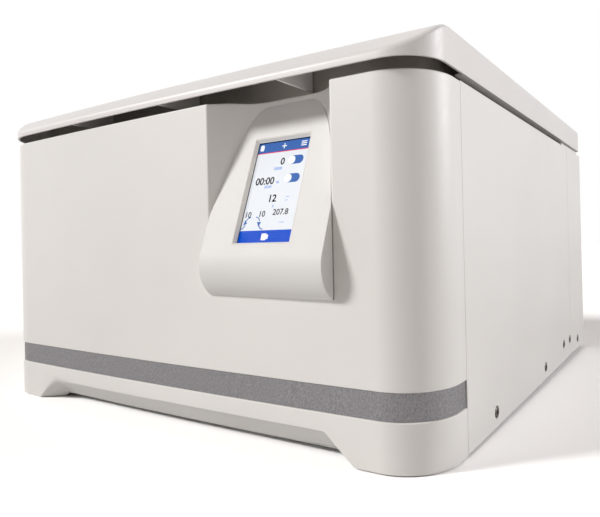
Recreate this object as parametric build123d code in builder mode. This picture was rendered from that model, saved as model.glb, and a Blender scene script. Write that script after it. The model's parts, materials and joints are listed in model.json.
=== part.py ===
from build123d import *
from math import atan2, cos, radians, sin, sqrt, tan
import os

# Wide benchtop centrifuge. Millimetres, +Z up, front towards -Y, origin on the bench under the middle.

# ---- body ----
cooler_bay = 210.0  # room left of the chamber
front_rear_room = 204.0  # room in front of and behind the chamber, together
panel_top = 379.4
front_bow = 4.6  # how far the middle of the front stands out past its corners
bow_half_span = 305.0
front_corner_radius = 62.0
seam_setback = 78.8  # from the front to the seam between fascia and side panel
seam_gap = 0.6
fascia_wall = 3.0
top_flange = 10.0
sheet = 1.5
fit_gap = 0.3

# ---- stripe and skirt ----
datum_height = 3.5  # the case's heights are measured from this far above the bench
stripe_bottom = 47.0
stripe_height = 28.0
stripe_thickness = 1.2
stripe_recess = 1.5
skirt_bottom = -2.5
skirt_wall = 6.0
undercut_left = -233.0
undercut_right = 246.5
undercut_slopes = (41.0, 34.0)  # how far the left and right ends run out down to the skirt's bottom
undercut_height = 28.0
lip_depth = 23.0
lip_bottom = 3.5
lip_wall = 2.5

# ---- niche and display pod ----
niche_x = 178.0
niche_front_half = 85.0
niche_back_half = 57.0
niche_depth = 45.0
niche_corner_radius = 34.0
niche_wall = 2.5
niche_rise = 3.4
pod_bottom = 160.5
pod_tilt = 19.5
pod_flush_z = 254.0  # where the tilted face crosses the front
pod_roll_z = 207.0  # where the face starts to roll under
pod_lip_out = 1.9  # how far the pod's bottom edge stands proud of the front
pod_wall = 3.0
screen_width = 74.0
screen_height = 121.0
screen_up = 24.9  # screen centre above the flush line, along the face
screen_shift = 1.0
bezel_border = 3.0
bezel_flange = 6.0
screen_depth = 4.2
glass_thickness = 1.5
module_thickness = 9.0

# ---- base ----
foot_height = 4.5  # the tray above the datum
foot_radius = 22.0
foot_inset = 60.0
tray_sheet = 2.0
tray_flange = 40.0
screw_head_radius = 4.5
screw_head_height = 2.2
screw_shank_radius = 2.0
screw_length = 2.6
screw_hole_radius = 5.4
screw_places = [(-189.0, 19.5), (46.0, 20.6), (176.0, 33.3), (225.0, 34.0), (297.0, 24.0)]

# ---- deck ----
deck_drop = 3.0
deck_sheet = 2.0

# ---- chamber ----
bowl_radius = 226.0
bowl_wall = 1.2
bowl_floor_z = 140.0
bowl_corner = 25.0
bowl_flange = 10.0
coil_radius = 3.9
coil_turns = 6
insulation_wall = 15.0
guard_wall = 5.0
guard_gap = 2.0
chamber_side_gap = 3.0
chamber_y = 8.0
gasket_width = 7.0
gasket_clearance = 0.3

# ---- drive ----
mount_radius = 16.0
mount_height = 30.0
mount_circle = 120.0
motor_plate_radius = 145.0
motor_plate_thickness = 8.0
motor_radius = 80.0
motor_height = 78.0
neck_radius = 36.0
neck_height = 28.0
boot_gap = 8.0
shaft_radius = 10.0
running_gap = 0.05

# ---- rotor ----
pivot_radius = 120.0
pivot_height = 115.0  # above the bowl's floor
rotor_radius = 150.0
rotor_thickness = 32.0
hub_radius = 32.0
hub_drop = 60.0
window_start = 64.0
bucket_radius = 46.0
bucket_wall = 4.0
bucket_below = 88.0
bucket_above = 26.0
bucket_side_gap = 3.0
trunnion_radius = 5.0
trunnion_bite = 4.4
boss_radius = 11.0
boss_out = 2.5
nut_radius = 22.0
nut_height = 24.0

# ---- lid ----
lid_gap = 8.0
lid_height = 38.4
lid_front_overhang = 8.3
lid_side_overhang = 1.6
lid_left_radius = 80.0
lid_right_radius = 50.0
lid_rear_radius = 12.0
lid_rear_setback = 8.0
lid_wall = 2.5
lid_roof = 3.0
lid_edge_radius = 6.0
lid_slope_depth = 44.0  # the slope along the lid's front, from its wall up to its roof
lid_slope_height = 30.2
lid_ledge_width = 11.0  # the folded ledge under the lid's sides
lid_ledge_front_y = -292.0
rib_pitch = 184.0
rib_first = -170.0
rib_thickness = 3.0
rib_clear = 2.5
liner_drop = 3.4  # how far the liner's plate hangs below the lid's skirt
liner_sheet = 1.5
liner_front_setback = 69.9
liner_rear_setback = 60.0
liner_side = 14.0
window_radius = 32.0
window_ledge = 4.0
window_thickness = 3.0

# ---- hinges ----
hinge_inset = 117.5
hinge_rear_inset = 4.0
hinge_above_deck = 15.6
hinge_pin_radius = 4.0
knuckle_radius = 8.0
arm_half = 20.0
ear_thickness = 5.0
ear_gap = 1.0
spring_length = 12.0
spring_wall = 2.6
arm_length = 50.0
cover_length = 135.0
cover_width = 12.0
cover_height = 9.6
cover_front_y = 203.0

# ---- latches ----
latch_xs = (-50.0, 300.0)
latch_setback = 80.0
striker_width = 24.0
striker_thickness = 4.0
striker_length = 42.0
striker_window = (12.0, 16.0)
latch_slot_gap = 4.0
hook_thickness = 8.0
hook_reach = 24.0
hook_pin_radius = 3.0

# ---- cooling unit ----
cooler_side_gap = 16.0
compressor_y = -115.0
compressor_radius = 72.0
compressor_height = 170.0
compressor_foot_height = 14.0
fan_room = 24.5  # between the condenser and the fan
condenser_size = (184.0, 30.0, 220.0)
fan_radius = 78.0
fan_gap = 4.0
fan_z = 122.0
fan_width = 24.0
fan_motor_radius = 30.0
fan_motor_length = 42.0
fan_shaft_radius = 4.0
fan_shaft_gap = 2.0
pipe_radius = 4.0
drier_radius = 11.0
drier_length = 70.0

# ---- electronics ----
board_size = (150.0, 1.6, 130.0)
inverter_size = (150.0, 60.0, 110.0)

# ---- rear ----
bumper_radius = 14.0
bumper_inset = 60.0
inlet_x = -120.0
inlet_z = 60.0
switch_x = -60.0
rocker_size = (20.0, 28.0)
rocker_out = 3.0
rear_screw_inset = 20.0

# ---- worked out from the sizes above ----
guard_outer = bowl_radius + bowl_wall + 2 * coil_radius + 1.0 + insulation_wall + guard_gap + guard_wall
body_width = 2 * (guard_outer + chamber_side_gap + sheet) + cooler_bay
body_depth = 2 * guard_outer + front_rear_room
half_width = body_width / 2
rear_y = body_depth / 2
apex_y = -rear_y - front_bow
bow_radius = (bow_half_span**2 + front_bow**2) / (2 * front_bow)
seam_y = -rear_y + seam_setback
panel_inner = half_width - sheet
deck_top = panel_top - deck_drop
deck_bottom = deck_top - deck_sheet
tray_top = foot_height + tray_sheet
lid_bottom = panel_top + lid_gap
lid_top = lid_bottom + lid_height
lid_ceiling = lid_top - lid_roof
lid_half = half_width + lid_side_overhang
lid_apex_y = apex_y - lid_front_overhang
lid_rear_y = rear_y - lid_rear_setback
niche_flush_y = apex_y + niche_x**2 / (2 * bow_radius)
niche_back_y = niche_flush_y + niche_depth - 1.2
niche_top = panel_top + niche_rise
pod_half = niche_front_half - fit_gap
slope = tan(radians(pod_tilt))
pod_peak_z = pod_flush_z + (niche_back_y - niche_flush_y) / slope

chamber_x = panel_inner - chamber_side_gap - guard_outer
cooler_x = cooler_side_gap + condenser_size[0] / 2 - panel_inner
fan_front_y = rear_y - sheet - fan_motor_length - fan_shaft_gap - fan_width
condenser_y = fan_front_y - fan_room - condenser_size[1]
motor_plate_z = tray_top + mount_height
motor_z = motor_plate_z + motor_plate_thickness
motor_top = motor_z + motor_height
pivot_z = bowl_floor_z + pivot_height
hub_bottom = pivot_z - hub_drop
hub_top = pivot_z + rotor_thickness / 2
liner_bottom = lid_bottom - liner_drop
liner_front_y = lid_apex_y + liner_front_setback
liner_rear_y = lid_rear_y - liner_rear_setback
hinge_x = half_width - hinge_inset
hinge_y = lid_rear_y + hinge_rear_inset
hinge_z = deck_top + hinge_above_deck
latch_y = latch_setback - rear_y

front_face = Plane(
    origin=(niche_x, niche_flush_y, pod_flush_z),
    x_dir=(1, 0, 0),
    z_dir=(0, -cos(radians(pod_tilt)), sin(radians(pod_tilt))),
)
chamber_plane = Plane(origin=(chamber_x, chamber_y, 0))


def keep(part, name):
    """Lifts a finished sub-part by the datum's height, labels it and writes its STEP file."""
    part = part.moved(Location((0, 0, datum_height)))
    part.label = name
    os.makedirs("parts", exist_ok=True)
    export_step(part, f"parts/{name}.step")


def bowed_plan(half, apex, rear, left_radius, right_radius, rear_radius=0.0):
    """Plan face with a bowed front, rounded front corners and a straight rear."""
    corner_y = apex + bow_radius - sqrt(bow_radius**2 - half**2)
    with BuildSketch() as plan:
        with BuildLine():
            Polyline((-half, corner_y), (-half, rear), (half, rear), (half, corner_y))
            ThreePointArc((half, corner_y), (0, apex), (-half, corner_y))
        make_face()
        for side, radius in ((-1, left_radius), (1, right_radius)):
            fillet(plan.vertices().sort_by_distance((side * half, corner_y, 0))[0], radius)
        if rear_radius:
            fillet(plan.vertices().sort_by(Axis.Y)[-2:], rear_radius)
    return plan.sketch


def body_plan(inset, rear):
    """The body's plan, moved in by inset at the front and the sides."""
    radius = front_corner_radius - inset
    return bowed_plan(half_width - inset, apex_y + inset, rear, radius, radius)


def lid_plan(inset):
    """The lid's plan, moved in by inset all round."""
    return bowed_plan(
        lid_half - inset,
        lid_apex_y + inset,
        lid_rear_y - inset,
        lid_left_radius - inset,
        lid_right_radius - inset,
        lid_rear_radius - inset,
    )


def niche_plan(grow):
    """Plan of the concave niche, open to the front, with its walls moved out by grow."""
    front = niche_front_half + grow
    back = niche_back_half + grow
    open_y = apex_y - 4 * front_bow
    back_y = niche_back_y + grow
    with BuildSketch() as plan:
        with BuildLine():
            Polyline(
                (niche_x - front, open_y),
                (niche_x - front, niche_flush_y),
                (niche_x - back, back_y),
                (niche_x + back, back_y),
                (niche_x + front, niche_flush_y),
                (niche_x + front, open_y),
                close=True,
            )
        make_face()
        fillet(plan.vertices().sort_by(Axis.Y)[-2:], niche_corner_radius + grow)
    return plan.sketch


def pod_profile(inset, back):
    """Side profile of the pod in (Y, Z): tilted face, rolled lower lip, flat bottom and open back."""
    peak_z = pod_flush_z + (back - niche_flush_y) / slope
    roll_y = niche_flush_y + (pod_roll_z - pod_flush_z) * slope
    with BuildSketch() as side:
        with BuildLine():
            face_line = Line((back, peak_z), (roll_y, pod_roll_z))
            lip = TangentArc(
                face_line @ 1, (niche_flush_y - pod_lip_out, pod_bottom), tangent=face_line % 1
            )
            Polyline(lip @ 1, (back, pod_bottom), (back, peak_z))
        make_face()
        if inset:
            offset(amount=-inset)
    return side.sketch


rear_stand = -pod_profile(0, niche_back_y).bounding_box().min.X


def ring_plan(outer, inner):
    """A flat ring round the local origin."""
    with BuildSketch() as plan:
        Circle(outer)
        Circle(inner, mode=Mode.SUBTRACT)
    return plan.sketch


# ---- front fascia ----
with BuildPart() as front_fascia:
    with BuildSketch(Plane.XY.offset(stripe_bottom)):
        add(body_plan(0, seam_y))
        add(body_plan(fascia_wall, seam_y + 1), mode=Mode.SUBTRACT)
    extrude(amount=panel_top - stripe_bottom)
    with BuildSketch(Plane.XY.offset(panel_top)):
        add(body_plan(fascia_wall / 2, seam_y))
        add(body_plan(top_flange, seam_y + 1), mode=Mode.SUBTRACT)
    extrude(amount=-fascia_wall + fit_gap)
    with BuildSketch(Plane.XY.offset(stripe_bottom)):
        add(body_plan(-1, seam_y + 1))
        add(body_plan(stripe_recess, seam_y + 2), mode=Mode.SUBTRACT)
    extrude(amount=stripe_height, mode=Mode.SUBTRACT)
    with BuildSketch(Plane.XY.offset(pod_bottom - fit_gap)):
        add(niche_plan(0))
    extrude(amount=niche_top - pod_bottom, mode=Mode.SUBTRACT)
    with BuildSketch(Plane.XY.offset(pod_bottom)) as niche_ring:
        add(niche_plan(niche_wall))
        add(niche_plan(0), mode=Mode.SUBTRACT)
        with Locations((niche_x, niche_flush_y - 2 * niche_depth + 1.5)):
            Rectangle(4 * niche_front_half, 4 * niche_depth, mode=Mode.SUBTRACT)
    extrude(amount=niche_top - pod_bottom)
    with BuildSketch(Plane.YZ.offset(niche_x)):
        with BuildLine():
            Polyline(
                (niche_flush_y - 2 * niche_rise, panel_top),
                (niche_flush_y + 1.0, panel_top),
                (niche_flush_y + niche_depth * 0.6, niche_top),
                (niche_flush_y + niche_depth * 0.6, niche_top + niche_rise),
                (niche_flush_y - 2 * niche_rise, niche_top + niche_rise),
                close=True,
            )
        make_face()
    extrude(amount=2 * niche_front_half, both=True, mode=Mode.SUBTRACT)
    with BuildSketch(Plane.YZ.offset(niche_x)):
        add(pod_profile(-fit_gap, niche_back_y + niche_depth))
        with Locations((niche_flush_y - niche_depth + fascia_wall + fit_gap, pod_flush_z)):
            Rectangle(2 * niche_depth, 2 * panel_top, mode=Mode.SUBTRACT)
    extrude(amount=niche_front_half + niche_wall + 1, both=True, mode=Mode.SUBTRACT)
keep(front_fascia.part, "front_fascia")


# ---- stripe ----
with BuildPart() as accent_stripe:
    with BuildSketch(Plane.XY.offset(stripe_bottom)):
        add(body_plan(stripe_recess - stripe_thickness, seam_y))
        add(body_plan(stripe_recess, seam_y + 1), mode=Mode.SUBTRACT)
    extrude(amount=stripe_height)
keep(accent_stripe.part, "accent_stripe")


# ---- skirt ----
lip_rear_y = apex_y + lip_depth
lip_slope = (undercut_height - lip_bottom) / lip_depth


def undercut_solid(grow):
    """The space under the raised middle of the skirt, with its roof and slopes moved out by grow."""
    roof = undercut_height + grow
    front_y = apex_y - front_bow + 0.5 * grow
    floor_z = -lip_bottom
    left_lean, right_lean = (run / (undercut_height - skirt_bottom) for run in undercut_slopes)
    tall = roof + undercut_height
    with BuildPart() as space:
        with BuildSketch(Plane.YZ):
            with BuildLine():
                Polyline(
                    (front_y, floor_z),
                    (front_y, roof + lip_slope * front_bow),
                    (lip_rear_y, lip_bottom + grow),
                    (lip_rear_y, floor_z),
                    close=True,
                )
            make_face()
        extrude(amount=half_width, both=True)
        with BuildSketch(Plane.XZ.offset(-lip_rear_y - 1)):
            with BuildLine():
                Polyline(
                    (undercut_left - grow - left_lean * (roof - floor_z), floor_z),
                    (undercut_left - grow + left_lean * (tall - roof), tall),
                    (undercut_right + grow - right_lean * (tall - roof), tall),
                    (undercut_right + grow + right_lean * (roof - floor_z), floor_z),
                    close=True,
                )
            make_face()
        extrude(amount=lip_depth * 2, mode=Mode.INTERSECT)
    return space.part


with BuildPart() as front_skirt:
    add(undercut_solid(lip_wall))
    with BuildSketch(Plane.XY.offset(skirt_bottom)):
        add(body_plan(skirt_wall / 2, rear_y))
    extrude(amount=stripe_bottom, mode=Mode.INTERSECT)
    with BuildSketch(Plane.XY.offset(skirt_bottom)):
        add(body_plan(0, seam_y))
        add(body_plan(skirt_wall, seam_y + 1), mode=Mode.SUBTRACT)
    extrude(amount=stripe_bottom - skirt_bottom)
    add(undercut_solid(0), mode=Mode.SUBTRACT)
keep(front_skirt.part, "front_skirt")

# ---- base tray and feet ----
tray_front_y = lip_rear_y + 2 * fit_gap
with BuildPart() as base_tray:
    with BuildSketch(Plane.XY.offset(foot_height)):
        with Locations((0, (seam_y + rear_y - sheet) / 2)):
            Rectangle(2 * panel_inner, rear_y - sheet - seam_y)
        add(body_plan(skirt_wall + fit_gap, seam_y))
        with Locations((0, tray_front_y)):
            Rectangle(
                body_width, body_depth, align=(Align.CENTER, Align.MAX), mode=Mode.SUBTRACT
            )
    extrude(amount=tray_sheet)
    for side in (-1, 1):
        with Locations((side * panel_inner, seam_y + skirt_wall, foot_height)):
            Box(
                sheet,
                rear_y - sheet - seam_y - skirt_wall,
                tray_flange,
                align=(Align.MAX if side > 0 else Align.MIN, Align.MIN, Align.MIN),
            )
        for y, z in screw_places:
            with Locations(Plane(origin=(side * panel_inner, y, z), z_dir=(side, 0, 0))):
                Cylinder(screw_shank_radius + fit_gap / 3, 8 * sheet, mode=Mode.SUBTRACT)
keep(base_tray.part, "base_tray")

foot_x = half_width - foot_inset
foot_front_y = tray_front_y + foot_radius + screw_head_height
foot_places = [
    (x, y) for x in (-foot_x, foot_x) for y in (foot_front_y, rear_y - foot_inset)
]
with BuildPart() as feet:
    for x, y in foot_places:
        with Locations((x, y, -datum_height)):
            Cylinder(
                foot_radius,
                foot_height + datum_height,
                align=(Align.CENTER, Align.CENTER, Align.MIN),
            )
    chamfer(feet.edges().filter_by(GeomType.CIRCLE).group_by(Axis.Z)[0], foot_height / 3)
keep(feet.part, "feet")

# ---- side and rear panels, screws ----
panel_bottom = skirt_bottom + 1.5
for side, name in ((1, "side_panel_right"), (-1, "side_panel_left")):
    panel_from_y = seam_y + seam_gap
    with BuildPart() as side_panel:
        with Locations((side * panel_inner, panel_from_y, panel_bottom)):
            Box(
                sheet,
                rear_y - panel_from_y,
                panel_top - panel_bottom,
                align=(Align.MIN if side > 0 else Align.MAX, Align.MIN, Align.MIN),
            )
        for y, z in screw_places:
            with Locations(Plane(origin=(side * panel_inner, y, z), z_dir=(side, 0, 0))):
                Cylinder(screw_hole_radius, 4 * sheet, mode=Mode.SUBTRACT)
        if side < 0:
            with BuildSketch(Plane.YZ.offset(-half_width - sheet)):
                with Locations((compressor_y, panel_top / 2)):
                    with GridLocations(0, 12.0, 1, 14):
                        SlotOverall(140.0, 5.0)
            extrude(amount=4 * sheet, mode=Mode.SUBTRACT)
    keep(side_panel.part, name)

with BuildPart() as side_screws:
    for side in (-1, 1):
        for y, z in screw_places:
            seat = Plane(origin=(side * panel_inner, y, z), z_dir=(side, 0, 0))
            with BuildSketch(seat):
                Circle(screw_head_radius)
            extrude(amount=screw_head_height)
            with BuildSketch(seat):
                Circle(screw_shank_radius)
            extrude(amount=-screw_length)
    heads = side_screws.edges().filter_by(GeomType.CIRCLE)
    outer = heads.group_by(Axis.X)[0] + heads.group_by(Axis.X)[-1]
    fillet(outer, screw_head_height * 0.8)
keep(side_screws.part, "side_screws")

rear_inner_y = rear_y - sheet
inlet_size = (34.0, 27.0)
with BuildPart() as rear_panel:
    with Locations((0, rear_inner_y, tray_top)):
        Box(
            2 * panel_inner - 2 * fit_gap,
            sheet,
            deck_bottom - fit_gap - tray_top,
            align=(Align.CENTER, Align.MIN, Align.MIN),
        )
    with BuildSketch(Plane.XZ.offset(-rear_inner_y + sheet)):
        with Locations((cooler_x, fan_z)):
            Circle(fan_radius)
            Circle(fan_motor_radius + 2 * fan_gap, mode=Mode.SUBTRACT)
            with GridLocations(0, 12.0, 1, 16):
                Rectangle(2 * fan_radius + 2, 6.0, mode=Mode.SUBTRACT)
            Rectangle(6.0, 2 * fan_radius + 2, mode=Mode.SUBTRACT)
        with Locations((inlet_x, inlet_z)):
            Rectangle(*inlet_size)
        with Locations((switch_x, inlet_z)):
            Rectangle(rocker_size[0] + 3.0, rocker_size[1] + 3.0)
    extrude(amount=-4 * sheet, mode=Mode.SUBTRACT)
    for x, z in [(x, z) for x in (-1, 1) for z in (tray_flange, deck_bottom - tray_flange)]:
        with Locations(Plane.XZ.offset(-rear_y)):
            with Locations((x * (panel_inner - rear_screw_inset), z)):
                Cylinder(screw_shank_radius + fit_gap / 3, 4 * sheet, mode=Mode.SUBTRACT)
keep(rear_panel.part, "rear_panel")

with BuildPart() as rear_screws:
    rear_seat = Plane(origin=(0, rear_y, 0), x_dir=(-1, 0, 0), z_dir=(0, 1, 0))
    for x, z in [(x, z) for x in (-1, 1) for z in (tray_flange, deck_bottom - tray_flange)]:
        with BuildSketch(rear_seat):
            with Locations((x * (panel_inner - rear_screw_inset), z)):
                Circle(screw_head_radius)
        extrude(amount=screw_head_height)
        with BuildSketch(rear_seat):
            with Locations((x * (panel_inner - rear_screw_inset), z)):
                Circle(screw_shank_radius)
        extrude(amount=-4 * sheet)
    fillet(
        rear_screws.edges().filter_by(GeomType.CIRCLE).group_by(Axis.Y)[-1],
        screw_head_height * 0.8,
    )
keep(rear_screws.part, "rear_screws")

with BuildPart() as rear_bumpers:
    with BuildSketch(rear_seat):
        for x in (-1, 1):
            for z in (bumper_inset, deck_bottom - bumper_inset):
                with Locations((x * (panel_inner - 2 * rear_screw_inset), z)):
                    Circle(bumper_radius)
    extrude(amount=rear_stand - rear_y)
    fillet(rear_bumpers.edges().filter_by(GeomType.CIRCLE).group_by(Axis.Y)[-1], 3.0)
keep(rear_bumpers.part, "rear_bumpers")

# ---- top deck ----
striker_slot = (striker_width + 2 * latch_slot_gap, striker_thickness + 2 * latch_slot_gap)
with BuildPart() as top_deck:
    with BuildSketch(Plane.XY.offset(deck_bottom)):
        with Locations((0, (seam_y + rear_y) / 2)):
            Rectangle(2 * panel_inner - 2 * fit_gap, rear_y - seam_y)
        add(body_plan(fascia_wall + fit_gap, seam_y))
        add(niche_plan(niche_wall + fit_gap), mode=Mode.SUBTRACT)
        with Locations((chamber_x, chamber_y)):
            Circle(bowl_radius + bowl_wall + fit_gap, mode=Mode.SUBTRACT)
        with Locations(*[(x, latch_y) for x in latch_xs]):
            Rectangle(*striker_slot, mode=Mode.SUBTRACT)
    extrude(amount=deck_sheet)
keep(top_deck.part, "top_deck")

cover_top = deck_top + cover_height
with BuildPart() as hinge_covers:
    for side in (-1, 1):
        with Locations((side * (panel_inner - fit_gap), cover_front_y, deck_top)):
            Box(
                cover_width,
                cover_length,
                cover_height,
                align=(Align.MAX if side > 0 else Align.MIN, Align.MIN, Align.MIN),
            )
    chamfer(hinge_covers.edges().group_by(Axis.Z)[-1], 1.5)
keep(hinge_covers.part, "hinge_covers")

# ---- chamber ----
flange_top = deck_top + bowl_wall
floor_hole = neck_radius + boot_gap
with BuildPart() as chamber_bowl:
    with BuildSketch(Plane(origin=(chamber_x, chamber_y, 0), x_dir=(1, 0, 0), z_dir=(0, -1, 0))):
        with BuildLine():
            inner_wall = Line((bowl_radius, flange_top), (bowl_radius, bowl_floor_z + bowl_corner))
            inner_bend = TangentArc(
                inner_wall @ 1,
                (bowl_radius - bowl_corner, bowl_floor_z),
                tangent=inner_wall % 1,
            )
            under_z = bowl_floor_z - bowl_wall
            outer_r = bowl_radius + bowl_wall
            Polyline(
                inner_bend @ 1,
                (floor_hole, bowl_floor_z),
                (floor_hole, under_z),
                (bowl_radius - bowl_corner, under_z),
            )
            outer_bend = TangentArc(
                (bowl_radius - bowl_corner, under_z),
                (outer_r, bowl_floor_z + bowl_corner),
                tangent=(1, 0),
            )
            Polyline(
                outer_bend @ 1,
                (outer_r, deck_top),
                (outer_r + bowl_flange, deck_top),
                (outer_r + bowl_flange, flange_top),
                (bowl_radius, flange_top),
            )
        make_face()
    revolve(axis=Axis((chamber_x, chamber_y, 0), (0, 0, 1)))
keep(chamber_bowl.part, "chamber_bowl")

gasket_inner = bowl_radius + bowl_wall + bowl_flange + gasket_clearance
with BuildPart() as chamber_gasket:
    with BuildSketch(chamber_plane.offset(deck_top)):
        add(ring_plan(gasket_inner + gasket_width, gasket_inner))
    extrude(amount=liner_bottom - gasket_clearance - deck_top)
    fillet(chamber_gasket.edges().group_by(Axis.Z)[-1], gasket_width * 0.3)
keep(chamber_gasket.part, "chamber_gasket")

coil_r = bowl_radius + bowl_wall + coil_radius + 0.1
coil_span = deck_bottom - bowl_floor_z - 2 * bowl_corner - 4 * coil_radius
with BuildPart() as evaporator_rings:
    for turn in range(coil_turns):
        ring_z = bowl_floor_z + bowl_corner + 2 * coil_radius + turn * coil_span / (coil_turns - 1)
        with Locations((chamber_x, chamber_y, ring_z)):
            Torus(coil_r, coil_radius)
keep(evaporator_rings.part, "evaporator_rings")

insulation_inner = coil_r + coil_radius + 0.1
insulation_outer = insulation_inner + insulation_wall
insulation_bottom = bowl_floor_z - insulation_wall
with BuildPart() as chamber_insulation:
    with BuildSketch(chamber_plane.offset(insulation_bottom)):
        add(ring_plan(insulation_outer, insulation_inner))
    extrude(amount=deck_bottom - insulation_bottom)
    with BuildSketch(chamber_plane.offset(insulation_bottom)):
        add(ring_plan(insulation_inner + 1, floor_hole))
    extrude(amount=insulation_wall - bowl_wall)
keep(chamber_insulation.part, "chamber_insulation")

with BuildPart() as guard_ring:
    with BuildSketch(chamber_plane.offset(tray_top)):
        add(ring_plan(guard_outer, guard_outer - guard_wall))
    extrude(amount=deck_bottom - tray_top)
    with BuildSketch(chamber_plane.offset(tray_top)):
        add(ring_plan(guard_outer - guard_wall + 1, motor_plate_radius + mount_radius))
    extrude(amount=guard_wall)
    with BuildSketch(chamber_plane.offset(insulation_bottom)):
        add(ring_plan(guard_outer - guard_wall + 1, insulation_outer - insulation_wall))
    extrude(amount=-guard_wall)
keep(guard_ring.part, "guard_ring")

# ---- drive ----
with BuildPart() as vibration_mounts:
    with BuildSketch(chamber_plane.offset(tray_top)):
        with PolarLocations(mount_circle, 4, start_angle=45):
            Circle(mount_radius)
    extrude(amount=mount_height)
keep(vibration_mounts.part, "vibration_mounts")

with BuildPart() as motor_plate:
    with BuildSketch(chamber_plane.offset(motor_plate_z)):
        Circle(motor_plate_radius)
        with PolarLocations(motor_radius + mount_radius, 4):
            Circle(mount_radius / 2, mode=Mode.SUBTRACT)
    extrude(amount=motor_plate_thickness)
keep(motor_plate.part, "motor_plate")

shaft_bottom = motor_z + motor_height / 6
neck_top = motor_top + neck_height
with BuildPart() as motor_housing:
    with BuildSketch(chamber_plane.offset(motor_z)):
        Circle(motor_radius)
    extrude(amount=motor_height)
    fillet(motor_housing.edges().group_by(Axis.Z)[-1], motor_height / 14)
    with BuildSketch(chamber_plane.offset(motor_top - 1)):
        Circle(neck_radius)
    extrude(amount=neck_height + 1)
    with BuildSketch(chamber_plane.offset(motor_z)):
        with PolarLocations(motor_radius, 24):
            Rectangle(6.0, 4.0)
    extrude(amount=motor_height * 0.75, mode=Mode.SUBTRACT)
    with BuildSketch(chamber_plane.offset(shaft_bottom - 1)):
        Circle(shaft_radius + running_gap)
    extrude(amount=neck_top - shaft_bottom + 2, mode=Mode.SUBTRACT)
keep(motor_housing.part, "motor_housing")

with BuildPart() as motor_boot:
    with BuildSketch(chamber_plane.offset(bowl_floor_z - insulation_wall / 2)):
        add(ring_plan(floor_hole - 0.1, neck_radius + 0.1))
    extrude(amount=insulation_wall / 2 + 2.0)
keep(motor_boot.part, "motor_boot")

hub_gap = 3.0
with BuildPart() as drive_shaft:
    with BuildSketch(chamber_plane.offset(shaft_bottom)):
        Circle(shaft_radius)
    extrude(amount=hub_top - shaft_bottom)
    with BuildSketch(chamber_plane.offset(neck_top + hub_gap)):
        Circle(shaft_radius * 2)
    extrude(amount=hub_bottom - neck_top - hub_gap)
keep(drive_shaft.part, "drive_shaft")

# ---- rotor ----
arm_face = bucket_radius + bucket_side_gap
with BuildPart() as rotor_body:
    with BuildSketch(chamber_plane.offset(pivot_z - rotor_thickness / 2)):
        Circle(rotor_radius)
        with PolarLocations(window_start, 4):
            Rectangle(
                rotor_radius, 2 * arm_face, align=(Align.MIN, Align.CENTER), mode=Mode.SUBTRACT
            )
    extrude(amount=rotor_thickness)
    chamfer(rotor_body.edges().filter_by(GeomType.CIRCLE), 2.0)
    with BuildSketch(chamber_plane.offset(hub_bottom)):
        Circle(hub_radius)
    extrude(amount=hub_drop)
    for arm in range(4):
        turned = chamber_plane.rotated((0, 0, 90.0 * arm)).offset(pivot_z)
        for side in (-1, 1):
            pin_y = side * (arm_face + 0.5)
            start = turned.from_local_coords((pivot_radius, pin_y, 0))
            with BuildSketch(Plane(origin=start, z_dir=turned.y_dir * -side)):
                Circle(trunnion_radius)
            extrude(amount=trunnion_bite + 0.5)
    with BuildSketch(chamber_plane.offset(hub_bottom)):
        Circle(shaft_radius + running_gap)
    extrude(amount=hub_top - hub_bottom, mode=Mode.SUBTRACT)
keep(rotor_body.part, "rotor_body")

with BuildPart() as rotor_nut:
    with BuildSketch(chamber_plane.offset(hub_top)):
        Circle(nut_radius)
        with PolarLocations(nut_radius, 12):
            Circle(nut_radius / 9, mode=Mode.SUBTRACT)
    extrude(amount=nut_height)
    chamfer(rotor_nut.faces().sort_by(Axis.Z)[-1].edges(), 1.2)
keep(rotor_nut.part, "rotor_nut")

boss_face = bucket_radius + boss_out
socket_floor = arm_face - trunnion_bite - 0.3
for arm in range(4):
    centre = Plane(origin=(chamber_x, chamber_y, pivot_z)).rotated((0, 0, 90.0 * arm))
    stand = Plane(
        origin=centre.from_local_coords((pivot_radius, 0, 0)), x_dir=centre.x_dir, z_dir=(0, 0, 1)
    )
    with BuildPart() as bucket:
        with BuildSketch(stand.offset(-bucket_below)):
            Circle(bucket_radius)
        extrude(amount=bucket_below + bucket_above)
        fillet(bucket.edges().group_by(Axis.Z)[0], 9.0)
        for side in (-1, 1):
            tip = stand.from_local_coords((0, side * (bucket_radius - bucket_wall + 1), 0))
            with BuildSketch(Plane(origin=tip, z_dir=stand.y_dir * side)):
                Circle(boss_radius)
            extrude(amount=boss_face - bucket_radius + bucket_wall - 1)
        with BuildSketch(stand.offset(-bucket_below + 2 * bucket_wall)):
            Circle(bucket_radius - bucket_wall)
        extrude(amount=bucket_below + bucket_above, mode=Mode.SUBTRACT)
        for side in (-1, 1):
            mouth = stand.from_local_coords((0, side * boss_face, 0))
            with BuildSketch(Plane(origin=mouth, z_dir=stand.y_dir * -side)):
                Circle(trunnion_radius + running_gap)
            extrude(amount=boss_face - socket_floor, mode=Mode.SUBTRACT)
    keep(bucket.part, f"bucket_{arm + 1}")

# ---- lid ----
def lid_slope(inset):
    """What the slope along the lid's bowed front takes off, moved in by inset."""
    bow_centre_y = lid_apex_y + bow_radius
    rise = lid_slope_height / lid_slope_depth
    front_y = lid_apex_y + inset - lid_edge_radius
    back_y = lid_apex_y + inset + lid_slope_depth + lid_edge_radius
    low_z = lid_top - lid_slope_height - lid_edge_radius * rise
    high_z = lid_top + lid_edge_radius * rise
    with BuildPart() as ring:
        with BuildSketch(Plane.YZ):
            with BuildLine():
                Polyline((front_y, low_z), (back_y, high_z), (front_y, high_z), close=True)
            make_face()
        revolve(axis=Axis((0, bow_centre_y, 0), (0, 0, 1)))
    return ring.part


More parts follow.
